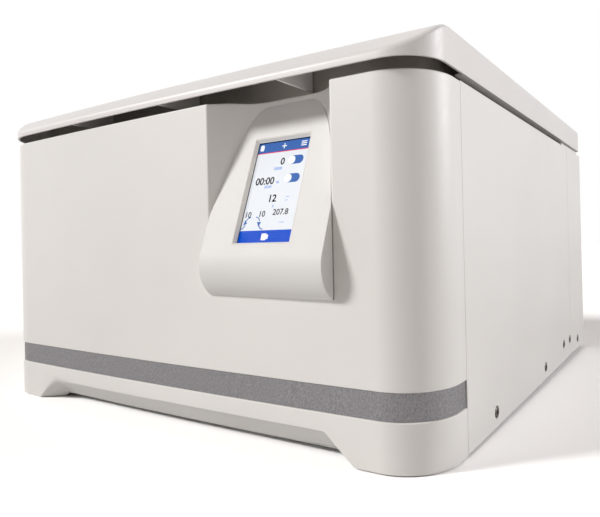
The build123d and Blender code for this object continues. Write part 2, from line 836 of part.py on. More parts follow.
with BuildPart() as lid_cavity:
    with BuildSketch(Plane.XY.offset(lid_bottom)):
        add(lid_plan(lid_wall))
    extrude(amount=lid_height - lid_roof)
    add(lid_slope(lid_roof / sin(atan2(lid_slope_height, lid_slope_depth))), mode=Mode.SUBTRACT)

arm_y = hinge_y - hinge_rear_inset - arm_length
notch_half = arm_half + ear_gap + ear_thickness + spring_length + 6 * ear_gap
skirt_inner_y = lid_apex_y + lid_wall
with BuildPart() as lid_shell:
    with BuildSketch(Plane.XY.offset(lid_bottom)):
        add(lid_plan(0))
    extrude(amount=lid_height)
    fillet(lid_shell.edges().group_by(Axis.Z)[-1], lid_edge_radius)
    add(lid_cavity.part, mode=Mode.SUBTRACT)
    for rib in range(3):
        with Locations((rib_first + rib * rib_pitch, skirt_inner_y - 0.5, lid_ceiling + 0.5)):
            Box(
                rib_thickness,
                liner_front_y - skirt_inner_y - fit_gap + 0.5,
                lid_ceiling - lid_bottom - rib_clear + 0.5,
                align=(Align.CENTER, Align.MIN, Align.MAX),
            )
    add(lid_slope(0), mode=Mode.SUBTRACT)
    for side in (-1, 1):
        with Locations((side * (lid_half - lid_wall / 2), lid_ledge_front_y, lid_bottom)):
            Box(
                lid_ledge_width - lid_wall / 2,
                lid_rear_y - lid_rear_radius - lid_ledge_front_y,
                lid_wall,
                align=(Align.MAX if side > 0 else Align.MIN, Align.MIN, Align.MIN),
            )
        with Locations((side * hinge_x, lid_rear_y, lid_bottom)):
            Box(
                2 * notch_half,
                6 * lid_wall,
                lid_height - lid_roof,
                align=(Align.CENTER, Align.CENTER, Align.MIN),
                mode=Mode.SUBTRACT,
            )
    with BuildSketch(chamber_plane.offset(lid_ceiling - 1)):
        Circle(window_radius - window_ledge)
    extrude(amount=lid_roof + 2, mode=Mode.SUBTRACT)
    with BuildSketch(chamber_plane.offset(lid_ceiling - 1)):
        Circle(window_radius + fit_gap)
    extrude(amount=1 + lid_roof / 2, mode=Mode.SUBTRACT)
keep(lid_shell.part, "lid_shell")

liner_half = panel_inner - liner_side
with BuildPart() as lid_liner:
    with BuildSketch(Plane.XY.offset(liner_bottom)):
        with Locations((0, (liner_front_y + liner_rear_y) / 2)):
            RectangleRounded(2 * liner_half, liner_rear_y - liner_front_y, 20.0)
    extrude(amount=lid_ceiling - liner_bottom)
    with BuildSketch(Plane.XY.offset(liner_bottom + liner_sheet)):
        with Locations((0, (liner_front_y + liner_rear_y) / 2)):
            RectangleRounded(
                2 * (liner_half - liner_sheet),
                liner_rear_y - liner_front_y - 2 * liner_sheet,
                20.0 - liner_sheet,
            )
    extrude(amount=lid_height, mode=Mode.SUBTRACT)
    with BuildSketch(chamber_plane.offset(liner_bottom - 1)):
        Circle(window_radius - window_ledge)
    extrude(amount=lid_height, mode=Mode.SUBTRACT)
keep(lid_liner.part, "lid_liner")

with BuildPart() as viewport_window:
    with BuildSketch(chamber_plane.offset(lid_ceiling + lid_roof / 2 - window_thickness)):
        Circle(window_radius)
    extrude(amount=window_thickness)
keep(viewport_window.part, "viewport_window")

with BuildPart() as viewport_tube:
    with BuildSketch(chamber_plane.offset(liner_bottom + liner_sheet)):
        add(ring_plan(window_radius, window_radius - window_ledge))
    extrude(amount=lid_ceiling + lid_roof / 2 - window_thickness - liner_bottom - liner_sheet)
keep(viewport_tube.part, "viewport_tube")

# ---- hinges ----
hinge_axis_plane = Plane(origin=(0, hinge_y, hinge_z), x_dir=(0, 1, 0), z_dir=(1, 0, 0))
ear_start = arm_half + ear_gap
with BuildPart() as hinge_brackets:
    for side in (-1, 1):
        base_half = ear_start + ear_thickness + spring_length
        with Locations((side * hinge_x, rear_y - sheet, deck_top)):
            Box(
                2 * base_half,
                4 * knuckle_radius,
                fascia_wall,
                align=(Align.CENTER, Align.MAX, Align.MIN),
            )
        for ear in (-1, 1):
            ear_x = side * hinge_x + ear * (ear_start + ear_thickness / 2)
            with BuildSketch(hinge_axis_plane.offset(ear_x)):
                Circle(knuckle_radius)
                with BuildLine():
                    Polyline(
                        (-2.5 * knuckle_radius, fascia_wall - hinge_above_deck),
                        (rear_y - sheet - hinge_y, fascia_wall - hinge_above_deck),
                        (knuckle_radius, 0),
                        (-knuckle_radius * 0.7, knuckle_radius * 0.7),
                        close=True,
                    )
                make_face()
                Circle(hinge_pin_radius + running_gap, mode=Mode.SUBTRACT)
            extrude(amount=ear_thickness / 2, both=True)
keep(hinge_brackets.part, "hinge_brackets")

pin_half = ear_start + ear_thickness + spring_length + ear_gap
with BuildPart() as hinge_pins:
    for side in (-1, 1):
        with BuildSketch(hinge_axis_plane.offset(side * hinge_x)):
            Circle(hinge_pin_radius)
        extrude(amount=pin_half, both=True)
keep(hinge_pins.part, "hinge_pins")

with BuildPart() as hinge_springs:
    spring_inner = hinge_pin_radius + running_gap
    coil_count = 5
    coil_pitch = spring_length / coil_count
    for side in (-1, 1):
        for ear in (-1, 1):
            spring_x = side * hinge_x + ear * (ear_start + ear_thickness)
            spring_plane = Plane(origin=(spring_x, hinge_y, hinge_z), x_dir=(1, 0, 0), z_dir=(0, -1, 0))
            with BuildSketch(spring_plane):
                with BuildLine():
                    points = [(0, spring_inner)]
                    for coil in range(coil_count):
                        points.append((ear * coil_pitch * coil, spring_inner + spring_wall / 2))
                        points.append((ear * coil_pitch * (coil + 0.5), spring_inner + spring_wall))
                    points.append((ear * spring_length, spring_inner + spring_wall / 2))
                    points.append((ear * spring_length, spring_inner))
                    Polyline(*points, close=True)
                make_face()
            revolve(axis=Axis((spring_x, hinge_y, hinge_z), (1, 0, 0)))
keep(hinge_springs.part, "hinge_springs")

with BuildPart() as hinge_arms:
    arm_bottom = hinge_z - knuckle_radius / 2
    for side in (-1, 1):
        with BuildSketch(hinge_axis_plane.offset(side * hinge_x)):
            with BuildLine():
                Polyline(
                    (arm_y - hinge_y, lid_ceiling - hinge_z),
                    (arm_y - hinge_y, arm_bottom - hinge_z),
                    (0, arm_bottom - hinge_z),
                    (0, knuckle_radius),
                    (lid_rear_y - 3 * lid_wall - hinge_y, lid_ceiling - hinge_z),
                    close=True,
                )
            make_face()
            Circle(knuckle_radius)
            Circle(hinge_pin_radius + running_gap, mode=Mode.SUBTRACT)
        extrude(amount=arm_half, both=True)
keep(hinge_arms.part, "hinge_arms")

# ---- latches ----
striker_bottom = liner_bottom - striker_length
with BuildPart() as latch_strikers:
    for x in latch_xs:
        with Locations((x, latch_y, liner_bottom)):
            Box(
                striker_width,
                striker_thickness,
                striker_length,
                align=(Align.CENTER, Align.CENTER, Align.MAX),
            )
        with Locations((x, latch_y, striker_bottom + striker_thickness)):
            Box(
                striker_window[0],
                2 * striker_thickness,
                striker_window[1],
                align=(Align.CENTER, Align.CENTER, Align.MIN),
                mode=Mode.SUBTRACT,
            )
keep(latch_strikers.part, "latch_strikers")

hook_y = latch_y + striker_thickness / 2 + hook_reach / 2
hook_z = striker_bottom + striker_thickness + striker_window[1] / 2 - hook_reach + 3.0
hook_rest_gap = 3.0
for x, name in zip(latch_xs, ("latch_hook_left", "latch_hook_right")):
    with BuildPart() as latch_hook:
        with BuildSketch(Plane(origin=(x, hook_y, hook_z), x_dir=(0, 1, 0), z_dir=(1, 0, 0))):
            Circle(2 * hook_pin_radius)
            with BuildLine():
                nose_y = hook_rest_gap - hook_reach / 2
                Polyline(
                    (-2 * hook_pin_radius, 0),
                    (-2 * hook_pin_radius, hook_reach - 2 * hook_pin_radius),
                    (nose_y, hook_reach - hook_pin_radius),
                    (nose_y, hook_reach),
                    (2 * hook_pin_radius, hook_reach),
                    (2 * hook_pin_radius, 0),
                    close=True,
                )
            make_face()
            Circle(hook_pin_radius + running_gap, mode=Mode.SUBTRACT)
        extrude(amount=hook_thickness / 2, both=True)
    keep(latch_hook.part, name)

frame_wall = 3.0
frame_half = striker_width / 2 + latch_slot_gap
frame_front_y = latch_y - hook_reach
frame_rear_y = hook_y + 2 * hook_reach
frame_bottom = hook_z - hook_reach
with BuildPart() as latch_frames:
    for x in latch_xs:
        for side in (-1, 1):
            with Locations((x + side * frame_half, frame_front_y, frame_bottom)):
                Box(
                    frame_wall,
                    frame_rear_y - frame_front_y,
                    deck_bottom - frame_bottom,
                    align=(Align.MIN if side > 0 else Align.MAX, Align.MIN, Align.MIN),
                )
        with Locations((x, frame_front_y, frame_bottom)):
            Box(
                2 * frame_half + 2 * frame_wall,
                frame_rear_y - frame_front_y,
                frame_wall,
                align=(Align.CENTER, Align.MIN, Align.MAX),
            )
        with BuildSketch(Plane.YZ.offset(x)):
            with Locations((hook_y, hook_z)):
                Circle(hook_pin_radius)
        extrude(amount=frame_half, both=True)
keep(latch_frames.part, "latch_frames")

with BuildPart() as latch_motors:
    for x in latch_xs:
        with BuildSketch(Plane.YZ.offset(x - frame_half + fit_gap)):
            with Locations((frame_rear_y - hook_reach / 2 - 1, hook_z - hook_reach / 2 + 1)):
                Circle(hook_reach / 2 - 2)
        extrude(amount=2 * frame_half - 2 * fit_gap)
keep(latch_motors.part, "latch_motors")

# ---- display pod ----
screen_centre = front_face.from_local_coords((screen_shift, screen_up, 0))
screen_plane = Plane(origin=screen_centre, x_dir=front_face.x_dir, z_dir=front_face.z_dir)
window_width = screen_width + 2 * bezel_border
window_height = screen_height + 2 * bezel_border
with BuildPart() as display_housing:
    with BuildSketch(Plane.YZ.offset(niche_x)):
        add(pod_profile(0, niche_back_y - fit_gap))
    extrude(amount=pod_half, both=True)
    with BuildSketch(Plane.XY.offset(pod_bottom)):
        add(niche_plan(-fit_gap))
    extrude(amount=niche_top - pod_bottom, mode=Mode.INTERSECT)
    with BuildSketch(Plane.YZ.offset(niche_x)):
        add(pod_profile(pod_wall, niche_back_y + niche_depth))
    extrude(amount=pod_half - pod_wall, both=True, mode=Mode.SUBTRACT)
    with BuildSketch(screen_plane.offset(-2 * pod_wall)):
        Rectangle(window_width + 2 * fit_gap, window_height + 2 * fit_gap)
    extrude(amount=4 * pod_wall, mode=Mode.SUBTRACT)
keep(display_housing.part, "display_housing")

bezel_back = screen_depth
with BuildPart() as display_bezel:
    with BuildSketch(screen_plane.offset(-bezel_back)):
        Rectangle(window_width, window_height)
    extrude(amount=bezel_back)
    with BuildSketch(screen_plane.offset(-bezel_back)):
        Rectangle(window_width + 2 * bezel_flange, window_height + 2 * bezel_flange)
    extrude(amount=bezel_back - pod_wall)
    with BuildSketch(screen_plane.offset(-bezel_back)):
        Rectangle(screen_width, screen_height)
    with BuildSketch(screen_plane):
        Rectangle(window_width - 1.6, window_height - 1.6)
    loft(mode=Mode.SUBTRACT)
keep(display_bezel.part, "display_bezel")

with BuildPart() as display_glass:
    with BuildSketch(screen_plane.offset(-bezel_back)):
        Rectangle(window_width + bezel_flange, window_height + bezel_flange)
    extrude(amount=-glass_thickness)
keep(display_glass.part, "display_glass")

with BuildPart() as display_module:
    with BuildSketch(screen_plane.offset(-bezel_back - glass_thickness)):
        Rectangle(window_width + bezel_flange, window_height + bezel_flange)
    extrude(amount=-module_thickness)
keep(display_module.part, "display_module")

# ---- electronics ----
with BuildPart() as control_board:
    board_x = cooler_x + 20.0
    board_y = tray_front_y + 14.0
    with Locations((board_x, board_y, tray_top)):
        Box(board_size[0], 12.0, 2.0, align=(Align.CENTER, Align.MIN, Align.MIN))
    with Locations((board_x, board_y, tray_top)):
        Box(board_size[0], 2.0, board_size[2] + 20.0, align=(Align.CENTER, Align.MIN, Align.MIN))
    with Locations((board_x, board_y, tray_top + 16.0)):
        Box(*board_size, align=(Align.CENTER, Align.MAX, Align.MIN))
    for column, (width, tall) in enumerate(((26.0, 30.0), (18.0, 40.0), (34.0, 22.0))):
        chip_x = board_x + (column - 1) * 46.0
        with Locations((chip_x, board_y - board_size[1], tray_top + 60.0)):
            Box(width, 5.0, tall, align=(Align.CENTER, Align.MAX, Align.MIN))
keep(control_board.part, "control_board")

with BuildPart() as drive_inverter:
    with Locations((board_x, board_y + 20.0, tray_top)):
        Box(*inverter_size, align=(Align.CENTER, Align.MIN, Align.MIN))
    with BuildSketch(Plane.XY.offset(tray_top + inverter_size[2])):
        with Locations((board_x, board_y + 20.0 + inverter_size[1] / 2)):
            with GridLocations(10.0, 0, 14, 1):
                Rectangle(2.5, inverter_size[1] - 6.0)
    extrude(amount=24.0)
keep(drive_inverter.part, "drive_inverter")

# ---- mains inlet and power switch ----
with BuildPart() as mains_inlet:
    with BuildSketch(Plane.XZ.offset(-rear_y)):
        with Locations((inlet_x, inlet_z)):
            RectangleRounded(inlet_size[0] + 8.0, inlet_size[1] + 8.0, 3.0)
    extrude(amount=-2.0)
    with BuildSketch(Plane.XZ.offset(-rear_y)):
        with Locations((inlet_x, inlet_z)):
            Rectangle(inlet_size[0] - 2 * fit_gap, inlet_size[1] - 2 * fit_gap)
    extrude(amount=26.0)
    with BuildSketch(Plane.XZ.offset(-rear_y - 2.0)):
        with Locations((inlet_x, inlet_z)):
            RectangleRounded(inlet_size[0] - 7.0, inlet_size[1] - 7.0, 2.5)
    extrude(amount=22.0, mode=Mode.SUBTRACT)
    with BuildSketch(Plane.XZ.offset(-rear_y + 20.0)):
        with Locations((inlet_x, inlet_z - 4.0)):
            with GridLocations(9.0, 0, 3, 1):
                Rectangle(2.0, 6.0)
    extrude(amount=-17.0)
keep(mains_inlet.part, "mains_inlet")

rocker_pivot_y = rear_y - 3.0
with BuildPart() as switch_frame:
    with BuildSketch(Plane.XZ.offset(-rear_y)):
        with Locations((switch_x, inlet_z)):
            RectangleRounded(rocker_size[0] + 9.0, rocker_size[1] + 9.0, 2.0)
    extrude(amount=-1.5)
    with BuildSketch(Plane.XZ.offset(-rear_y)):
        with Locations((switch_x, inlet_z)):
            Rectangle(rocker_size[0] + 3.0 - 2 * fit_gap, rocker_size[1] + 3.0 - 2 * fit_gap)
    extrude(amount=22.0)
    with BuildSketch(Plane.XZ.offset(-rear_y - 2.0)):
        with Locations((switch_x, inlet_z)):
            Rectangle(rocker_size[0] + 0.6, rocker_size[1] + 0.6)
    extrude(amount=18.0, mode=Mode.SUBTRACT)
keep(switch_frame.part, "switch_frame")

rocker_tilt = 9.0
with BuildPart() as power_rocker:
    pivot_plane = Plane(
        origin=(switch_x, rocker_pivot_y, inlet_z), x_dir=(0, 1, 0), z_dir=(1, 0, 0)
    )
    with BuildSketch(pivot_plane):
        with BuildLine():
            half = rocker_size[1] / 2 - 0.8
            rise = half * tan(radians(rocker_tilt))
            Polyline(
                (-6.0, -half + 2.0),
                (rocker_out + rise, -half),
                (rocker_out, 0),
                (rocker_out - rise * 0.6, half),
                (-6.0, half - 2.0),
                close=True,
            )
        make_face()
    extrude(amount=rocker_size[0] / 2 - 0.3, both=True)
keep(power_rocker.part, "power_rocker")

# ---- cooling unit ----
compressor_base_z = tray_top + compressor_foot_height
foot_spread = compressor_radius * 0.85
with BuildPart() as compressor_feet:
    with BuildSketch(Plane.XY.offset(tray_top)):
        with Locations((cooler_x, compressor_y)):
            with GridLocations(2 * foot_spread, 2 * foot_spread, 2, 2):
                Circle(compressor_foot_height)
    extrude(amount=compressor_foot_height)
keep(compressor_feet.part, "compressor_feet")

with BuildPart() as compressor:
    with BuildSketch(Plane.XY.offset(compressor_base_z)):
        with Locations((cooler_x, compressor_y)):
            RectangleRounded(2.3 * foot_spread, 2.3 * foot_spread, 12.0)
    extrude(amount=3.0)
    with BuildSketch(Plane.XY.offset(compressor_base_z + 3.0)):
        with Locations((cooler_x, compressor_y)):
            Circle(compressor_radius)
    extrude(amount=compressor_height)
    fillet(compressor.edges().group_by(Axis.Z)[-1], compressor_radius * 0.4)
keep(compressor.part, "compressor")

with BuildPart() as condenser:
    with Locations((cooler_x, condenser_y, tray_top)):
        Box(*condenser_size, align=(Align.CENTER, Align.MIN, Align.MIN))
    for face_y in (condenser_y, condenser_y + condenser_size[1]):
        with BuildSketch(Plane.XZ.offset(-face_y)):
            with Locations((cooler_x, tray_top + condenser_size[2] / 2)):
                with GridLocations(condenser_size[0] / 32, 0, 30, 1):
                    Rectangle(condenser_size[0] / 64, condenser_size[2] - 16.0)
        extrude(amount=4.0, both=True, mode=Mode.SUBTRACT)
keep(condenser.part, "condenser")

shroud_y = condenser_y + condenser_size[1]
fan_y = shroud_y + 18.0
with BuildPart() as fan_shroud:
    with BuildSketch(Plane.XZ.offset(-shroud_y)):
        with Locations((cooler_x, tray_top + condenser_size[2] / 2)):
            Rectangle(condenser_size[0], condenser_size[2])
        with Locations((cooler_x, fan_z)):
            Circle(fan_radius + fan_gap, mode=Mode.SUBTRACT)
    extrude(amount=-2.0)
    with BuildSketch(Plane.XZ.offset(-shroud_y)):
        with Locations((cooler_x, fan_z)):
            add(ring_plan(fan_radius + fan_gap + 2.0, fan_radius + fan_gap))
    extrude(amount=-fan_width * 1.5)
keep(fan_shroud.part, "fan_shroud")

with BuildPart() as fan_motor:
    with BuildSketch(Plane.XZ.offset(-rear_inner_y)):
        with Locations((cooler_x, fan_z)):
            Circle(fan_motor_radius)
    extrude(amount=fan_motor_length)
    with BuildSketch(Plane.XZ.offset(-rear_inner_y + fan_motor_length)):
        with Locations((cooler_x, fan_z)):
            Circle(fan_shaft_radius)
    extrude(amount=rear_inner_y - fan_motor_length - fan_y)
keep(fan_motor.part, "fan_motor")

with BuildPart() as condenser_fan:
    with BuildSketch(Plane.XZ.offset(-fan_front_y)):
        with Locations((cooler_x, fan_z)):
            Circle(fan_motor_radius * 0.8)
    extrude(amount=-fan_width)
    for blade in range(5):
        turn = radians(72.0 * blade)
        pitch = radians(32.0)
        radial = Vector(cos(turn), 0, sin(turn))
        chord = Vector(-sin(turn) * cos(pitch), sin(pitch), cos(turn) * cos(pitch))
        middle = Vector(cooler_x, fan_front_y + fan_width / 2, fan_z)
        root = middle + radial * (fan_motor_radius * 0.7)
        with BuildSketch(Plane(origin=root, x_dir=chord, z_dir=radial)):
            SlotOverall(36.0, 2.4)
        extrude(amount=fan_radius - fan_motor_radius * 0.7 - 2.0)
    with BuildSketch(Plane.XZ.offset(-fan_front_y + 1)):
        with Locations((cooler_x, fan_z)):
            Circle(fan_shaft_radius + running_gap)
    extrude(amount=-fan_width - 2.0, mode=Mode.SUBTRACT)
keep(condenser_fan.part, "condenser_fan")

guard_left_x = chamber_x - guard_outer
line_z = tray_top + condenser_size[2] + 50.0
discharge_x = cooler_x - 30.0
with BuildPart() as refrigerant_lines:
    routes = [
        [
            (discharge_x, compressor_y, compressor_base_z + compressor_height + 3.0),
            (discharge_x, compressor_y, line_z),
            (discharge_x, condenser_y + 15.0, line_z),
            (discharge_x, condenser_y + 15.0, tray_top + condenser_size[2]),
        ],
        [
            (cooler_x + 30.0, compressor_y, compressor_base_z + compressor_height + 3.0),
            (cooler_x + 30.0, compressor_y, line_z + 20.0),
            (cooler_x + 30.0, chamber_y, line_z + 20.0),
            (guard_left_x - fit_gap, chamber_y, line_z + 20.0),
        ],
    ]
    for route in routes:
        with BuildLine() as path:
            FilletPolyline(*route, radius=16.0)
        with BuildSketch(Plane(origin=path.line @ 0, z_dir=path.line % 0)):
            Circle(pipe_radius)
        sweep(path=path.line)
keep(refrigerant_lines.part, "refrigerant_lines")

drier_x = cooler_x + 60.0
drier_bottom = tray_top + condenser_size[2]
with BuildPart() as filter_drier:
    with BuildSketch(Plane.XY.offset(drier_bottom)):
        with Locations((drier_x, condenser_y + 15.0)):
            Circle(pipe_radius)
    extrude(amount=14.0)
    with BuildSketch(Plane.XY.offset(drier_bottom + 12.0)):
        with Locations((drier_x, condenser_y + 15.0)):
            Circle(drier_radius)
    extrude(amount=drier_length)
    fillet(filter_drier.edges().filter_by(GeomType.CIRCLE).sort_by(Axis.Z)[-1], 4.0)
keep(filter_drier.part, "filter_drier")
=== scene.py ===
import math

import bpy
from mathutils import Matrix, Vector
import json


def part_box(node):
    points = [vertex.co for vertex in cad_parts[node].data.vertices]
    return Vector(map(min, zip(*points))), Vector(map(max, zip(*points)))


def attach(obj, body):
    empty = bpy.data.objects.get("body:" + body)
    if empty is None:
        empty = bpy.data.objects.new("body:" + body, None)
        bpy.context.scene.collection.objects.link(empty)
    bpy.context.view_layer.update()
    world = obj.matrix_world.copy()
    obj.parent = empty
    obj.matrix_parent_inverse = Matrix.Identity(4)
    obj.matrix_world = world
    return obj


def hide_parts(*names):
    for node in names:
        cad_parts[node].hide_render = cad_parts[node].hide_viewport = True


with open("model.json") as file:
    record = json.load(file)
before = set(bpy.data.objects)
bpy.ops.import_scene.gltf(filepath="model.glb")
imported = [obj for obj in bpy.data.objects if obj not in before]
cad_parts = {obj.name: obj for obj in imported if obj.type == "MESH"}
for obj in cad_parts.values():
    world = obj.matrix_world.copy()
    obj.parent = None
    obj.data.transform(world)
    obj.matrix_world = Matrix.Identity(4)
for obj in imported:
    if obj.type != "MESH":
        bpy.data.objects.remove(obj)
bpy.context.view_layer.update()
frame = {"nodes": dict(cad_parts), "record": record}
nodes = frame["nodes"]
mm = 0.001
datum = 0.0035  # the case's heights are measured from this far above the bench


def done():
    bpy.ops.object.mode_set(mode="OBJECT")


def deselectAll():
    if bpy.context.object and bpy.context.object.mode != "OBJECT":
        done()
    bpy.ops.object.select_all(action="DESELECT")


def pick(*pieces):
    deselectAll()
    for piece in pieces:
        piece.select_set(True)
    bpy.context.view_layer.objects.active = pieces[0]


def editAll(piece):
    pick(piece)
    bpy.ops.object.mode_set(mode="EDIT")
    bpy.ops.mesh.select_mode(type="VERT")
    bpy.ops.mesh.select_all(action="SELECT")


def selectOnly(piece, kind, test):
    done()
    mesh = piece.data
    groups = {"VERT": mesh.vertices, "EDGE": mesh.edges, "FACE": mesh.polygons}
    for group in groups.values():
        for item in group:
            item.select = False
    for item in groups[kind]:
        item.select = bool(test(item))
    bpy.ops.object.mode_set(mode="EDIT")
    bpy.ops.mesh.select_mode(type=kind)


def selectVerts(piece, test):
    selectOnly(piece, "VERT", lambda vertex: test(vertex.co))


def selectEdges(piece, test):
    done()
    verts = piece.data.vertices
    selectOnly(piece, "EDGE", lambda edge: test(*(verts[i].co for i in edge.vertices)))


def selectFaces(piece, test):
    selectOnly(piece, "FACE", lambda face: test(face.center, face.normal))


def applyAll(piece):
    pick(piece)
    for modifier in list(piece.modifiers):
        bpy.ops.object.modifier_apply(modifier=modifier.name)


def cut(piece, cutter, operation="DIFFERENCE"):
    modifier = piece.modifiers.new("cut", "BOOLEAN")
    modifier.operation = operation
    modifier.solver = "EXACT"
    modifier.object = cutter
    applyAll(piece)
    bpy.data.objects.remove(cutter)


def thicken(piece, thickness):
    modifier = piece.modifiers.new("wall", "SOLIDIFY")
    modifier.thickness = thickness
    modifier.offset = -1.0
    modifier.use_even_offset = True
    applyAll(piece)


def addBevel(piece, width, segments, angle):
    modifier = piece.modifiers.new("soft edges", "BEVEL")
    modifier.width = width
    modifier.segments = segments
    modifier.limit_method = "ANGLE"
    modifier.angle_limit = math.radians(angle)
    return modifier


def softEdges(piece, width, segments, angle, clamp=True):
    addBevel(piece, width, segments, angle).use_clamp_overlap = clamp
    applyAll(piece)


def weld(piece):
    editAll(piece)
    bpy.ops.mesh.remove_doubles(threshold=0.00002)
    done()


def outward(piece):
    editAll(piece)
    bpy.ops.mesh.normals_make_consistent(inside=False)
    done()


def smooth(piece, angle):
    pick(piece)
    bpy.ops.object.shade_smooth_by_angle(angle=math.radians(angle))
    modifier = piece.modifiers.new("flat faces stay flat", "WEIGHTED_NORMAL")
    modifier.keep_sharp = True
    modifier.weight = 80
    applyAll(piece)


def join(*pieces):
    pick(*pieces)
    if len(pieces) > 1:
        bpy.ops.object.join()
    return pieces[0]


def place(piece):
    pick(piece)
    bpy.ops.object.transform_apply(location=True, rotation=True, scale=True)


def block(name, low, high):
    deselectAll()
    low, high = Vector(low), Vector(high)
    bpy.ops.mesh.primitive_cube_add(size=1.0, location=(low + high) / 2)
    piece = bpy.context.object
    piece.scale = high - low
    piece.name = name
    place(piece)
    return piece


def rod(name, start, end, radius, sides):
    deselectAll()
    start, end = Vector(start), Vector(end)
    bpy.ops.mesh.primitive_cylinder_add(
        vertices=sides, radius=radius, depth=(end - start).length, location=(start + end) / 2
    )
    piece = bpy.context.object
    piece.rotation_euler = (end - start).to_track_quat("Z", "Y").to_euler()
    piece.name = name
    place(piece)
    return piece


def extrude(step):
    bpy.ops.mesh.extrude_region_move(TRANSFORM_OT_translate={"value": step})


def startChain(name, points):
    deselectAll()
    bpy.ops.mesh.primitive_plane_add(size=0.01, location=(0, 0, 0))
    piece = bpy.context.object
    piece.name = name
    bpy.ops.object.mode_set(mode="EDIT")
    bpy.ops.mesh.select_mode(type="VERT")
    bpy.ops.mesh.select_all(action="SELECT")
    bpy.ops.mesh.merge(type="CENTER")
    bpy.ops.transform.translate(value=points[0])
    for start, end in zip(points, points[1:]):
        extrude(Vector(end) - Vector(start))
    bpy.ops.mesh.select_all(action="SELECT")
    return piece


def fillAndExtrude(piece, step):
    bpy.ops.mesh.select_all(action="SELECT")
    bpy.ops.mesh.edge_face_add()
    extrude(step)
    done()
    outward(piece)
    return piece


# A wall is a section of (inset, z) points, pushed along a path by a pen. The pen's left is the inside.
def penAt(x, y, heading):
    return {"x": x, "y": y, "heading": heading}


def startWall(name, pen, section):
    inside = Vector((-math.sin(pen["heading"]), math.cos(pen["heading"]), 0))
    here = Vector((pen["x"], pen["y"], 0))
    return startChain(name, [here + inside * inset + Vector((0, 0, z)) for inset, z in section])


def go(pen, length, steps=1):
    for _ in range(steps):
        step = Vector((math.cos(pen["heading"]), math.sin(pen["heading"]), 0)) * (length / steps)
        extrude(step)
        pen["x"] += step.x
        pen["y"] += step.y


def bend(pen, radius, degrees, steps):
    side = 1 if degrees > 0 else -1
    left = Vector((-math.sin(pen["heading"]), math.cos(pen["heading"]), 0))
    centre = Vector((pen["x"], pen["y"], 0)) + left * (radius * side)
    bpy.ops.mesh.spin(
        steps=steps, angle=-math.radians(degrees), center=centre, axis=(0, 0, 1)
    )
    turned = Matrix.Rotation(math.radians(degrees), 3, "Z") @ (-left * (radius * side))
    pen["x"], pen["y"] = (centre + turned).xy
    pen["heading"] += math.radians(degrees)


case = {
    "halfWidth": 0.3675,
    "apexY": -0.3646,
    "bow": 0.0046,  # the front is one wide arc, this deep over its half span
    "bowHalfSpan": 0.305,
    "cornerRadius": 0.062,
    "cornerSteps": 24,
    "seamY": -0.2812,
    "panelTop": 0.3794,
    "stripeTop": 0.0750,
    "stripeBottom": 0.0470,
}
bowRadius = (case["bowHalfSpan"] ** 2 + case["bow"] ** 2) / (2 * case["bow"])


def bowY(x, apexY):
    return apexY + bowRadius - math.sqrt(bowRadius**2 - x**2)


def bowAngle(x):
    return math.degrees(math.asin(x / bowRadius))


def bowEnd(lean):
    return bowRadius * math.sin(math.radians(lean))


def cornerFacts(halfWidth, apexY, radius):
    lean = math.degrees(math.asin((halfWidth - radius) / (bowRadius - radius)))
    cornerY = apexY + bowRadius - (bowRadius - radius) * math.cos(math.radians(lean))
    return cornerY, lean


def penAtLeftSeam():
    return penAt(-case["halfWidth"], case["seamY"], math.radians(-90))


def toFront(pen):
    cornerY, lean = cornerFacts(case["halfWidth"], case["apexY"], case["cornerRadius"])
    go(pen, pen["y"] - cornerY)
    bend(pen, case["cornerRadius"], 90 - lean, case["cornerSteps"])


def alongFront(pen, x, steps):
    bend(pen, bowRadius, bowAngle(x) - math.degrees(pen["heading"]), steps)


def toRightSeam(pen):
    _, lean = cornerFacts(case["halfWidth"], case["apexY"], case["cornerRadius"])
    alongFront(pen, bowEnd(lean), 3)
    bend(pen, case["cornerRadius"], 90 - lean, case["cornerSteps"])
    go(pen, case["seamY"] - pen["y"])


cameraSettings = {
    "place": (0.573478, -0.807513, 0.217259 + datum),
    "yaw": 31.026,
    "pitch": 0.338,
    "roll": -1.2857,
    "focalPixels": 549.485,
    "centreX": 370.0,
    "centreY": 238.454,
    "frameWidth": 600.0,
    "frameHeight": 517.0,
}


def makeCamera():
    s = cameraSettings
    yaw, pitch, roll = (math.radians(s[k]) for k in ("yaw", "pitch", "roll"))
    forward = Vector(
        (-math.sin(yaw) * math.cos(pitch), math.cos(yaw) * math.cos(pitch), math.sin(pitch))
    )
    right = Vector((math.cos(yaw), math.sin(yaw), 0))
    up = right.cross(forward)
    tiltedRight = right * math.cos(roll) + up * math.sin(roll)
    tiltedUp = up * math.cos(roll) - right * math.sin(roll)
    data = bpy.data.cameras.new("camera")
    data.sensor_width = 36.0
    data.lens = s["focalPixels"] * data.sensor_width / s["frameWidth"]
    data.shift_x = (s["frameWidth"] / 2 - s["centreX"]) / s["frameWidth"]
    data.shift_y = (s["centreY"] - s["frameHeight"] / 2) / s["frameWidth"]
    data.clip_start = 0.01
    data.clip_end = 60.0
    camera = bpy.data.objects.new("camera", data)
    bpy.context.scene.collection.objects.link(camera)
    camera.matrix_world = (
        Matrix.Translation(s["place"])
        @ Matrix((tiltedRight, tiltedUp, -forward)).transposed().to_4x4()
    )
    bpy.context.scene.camera = camera


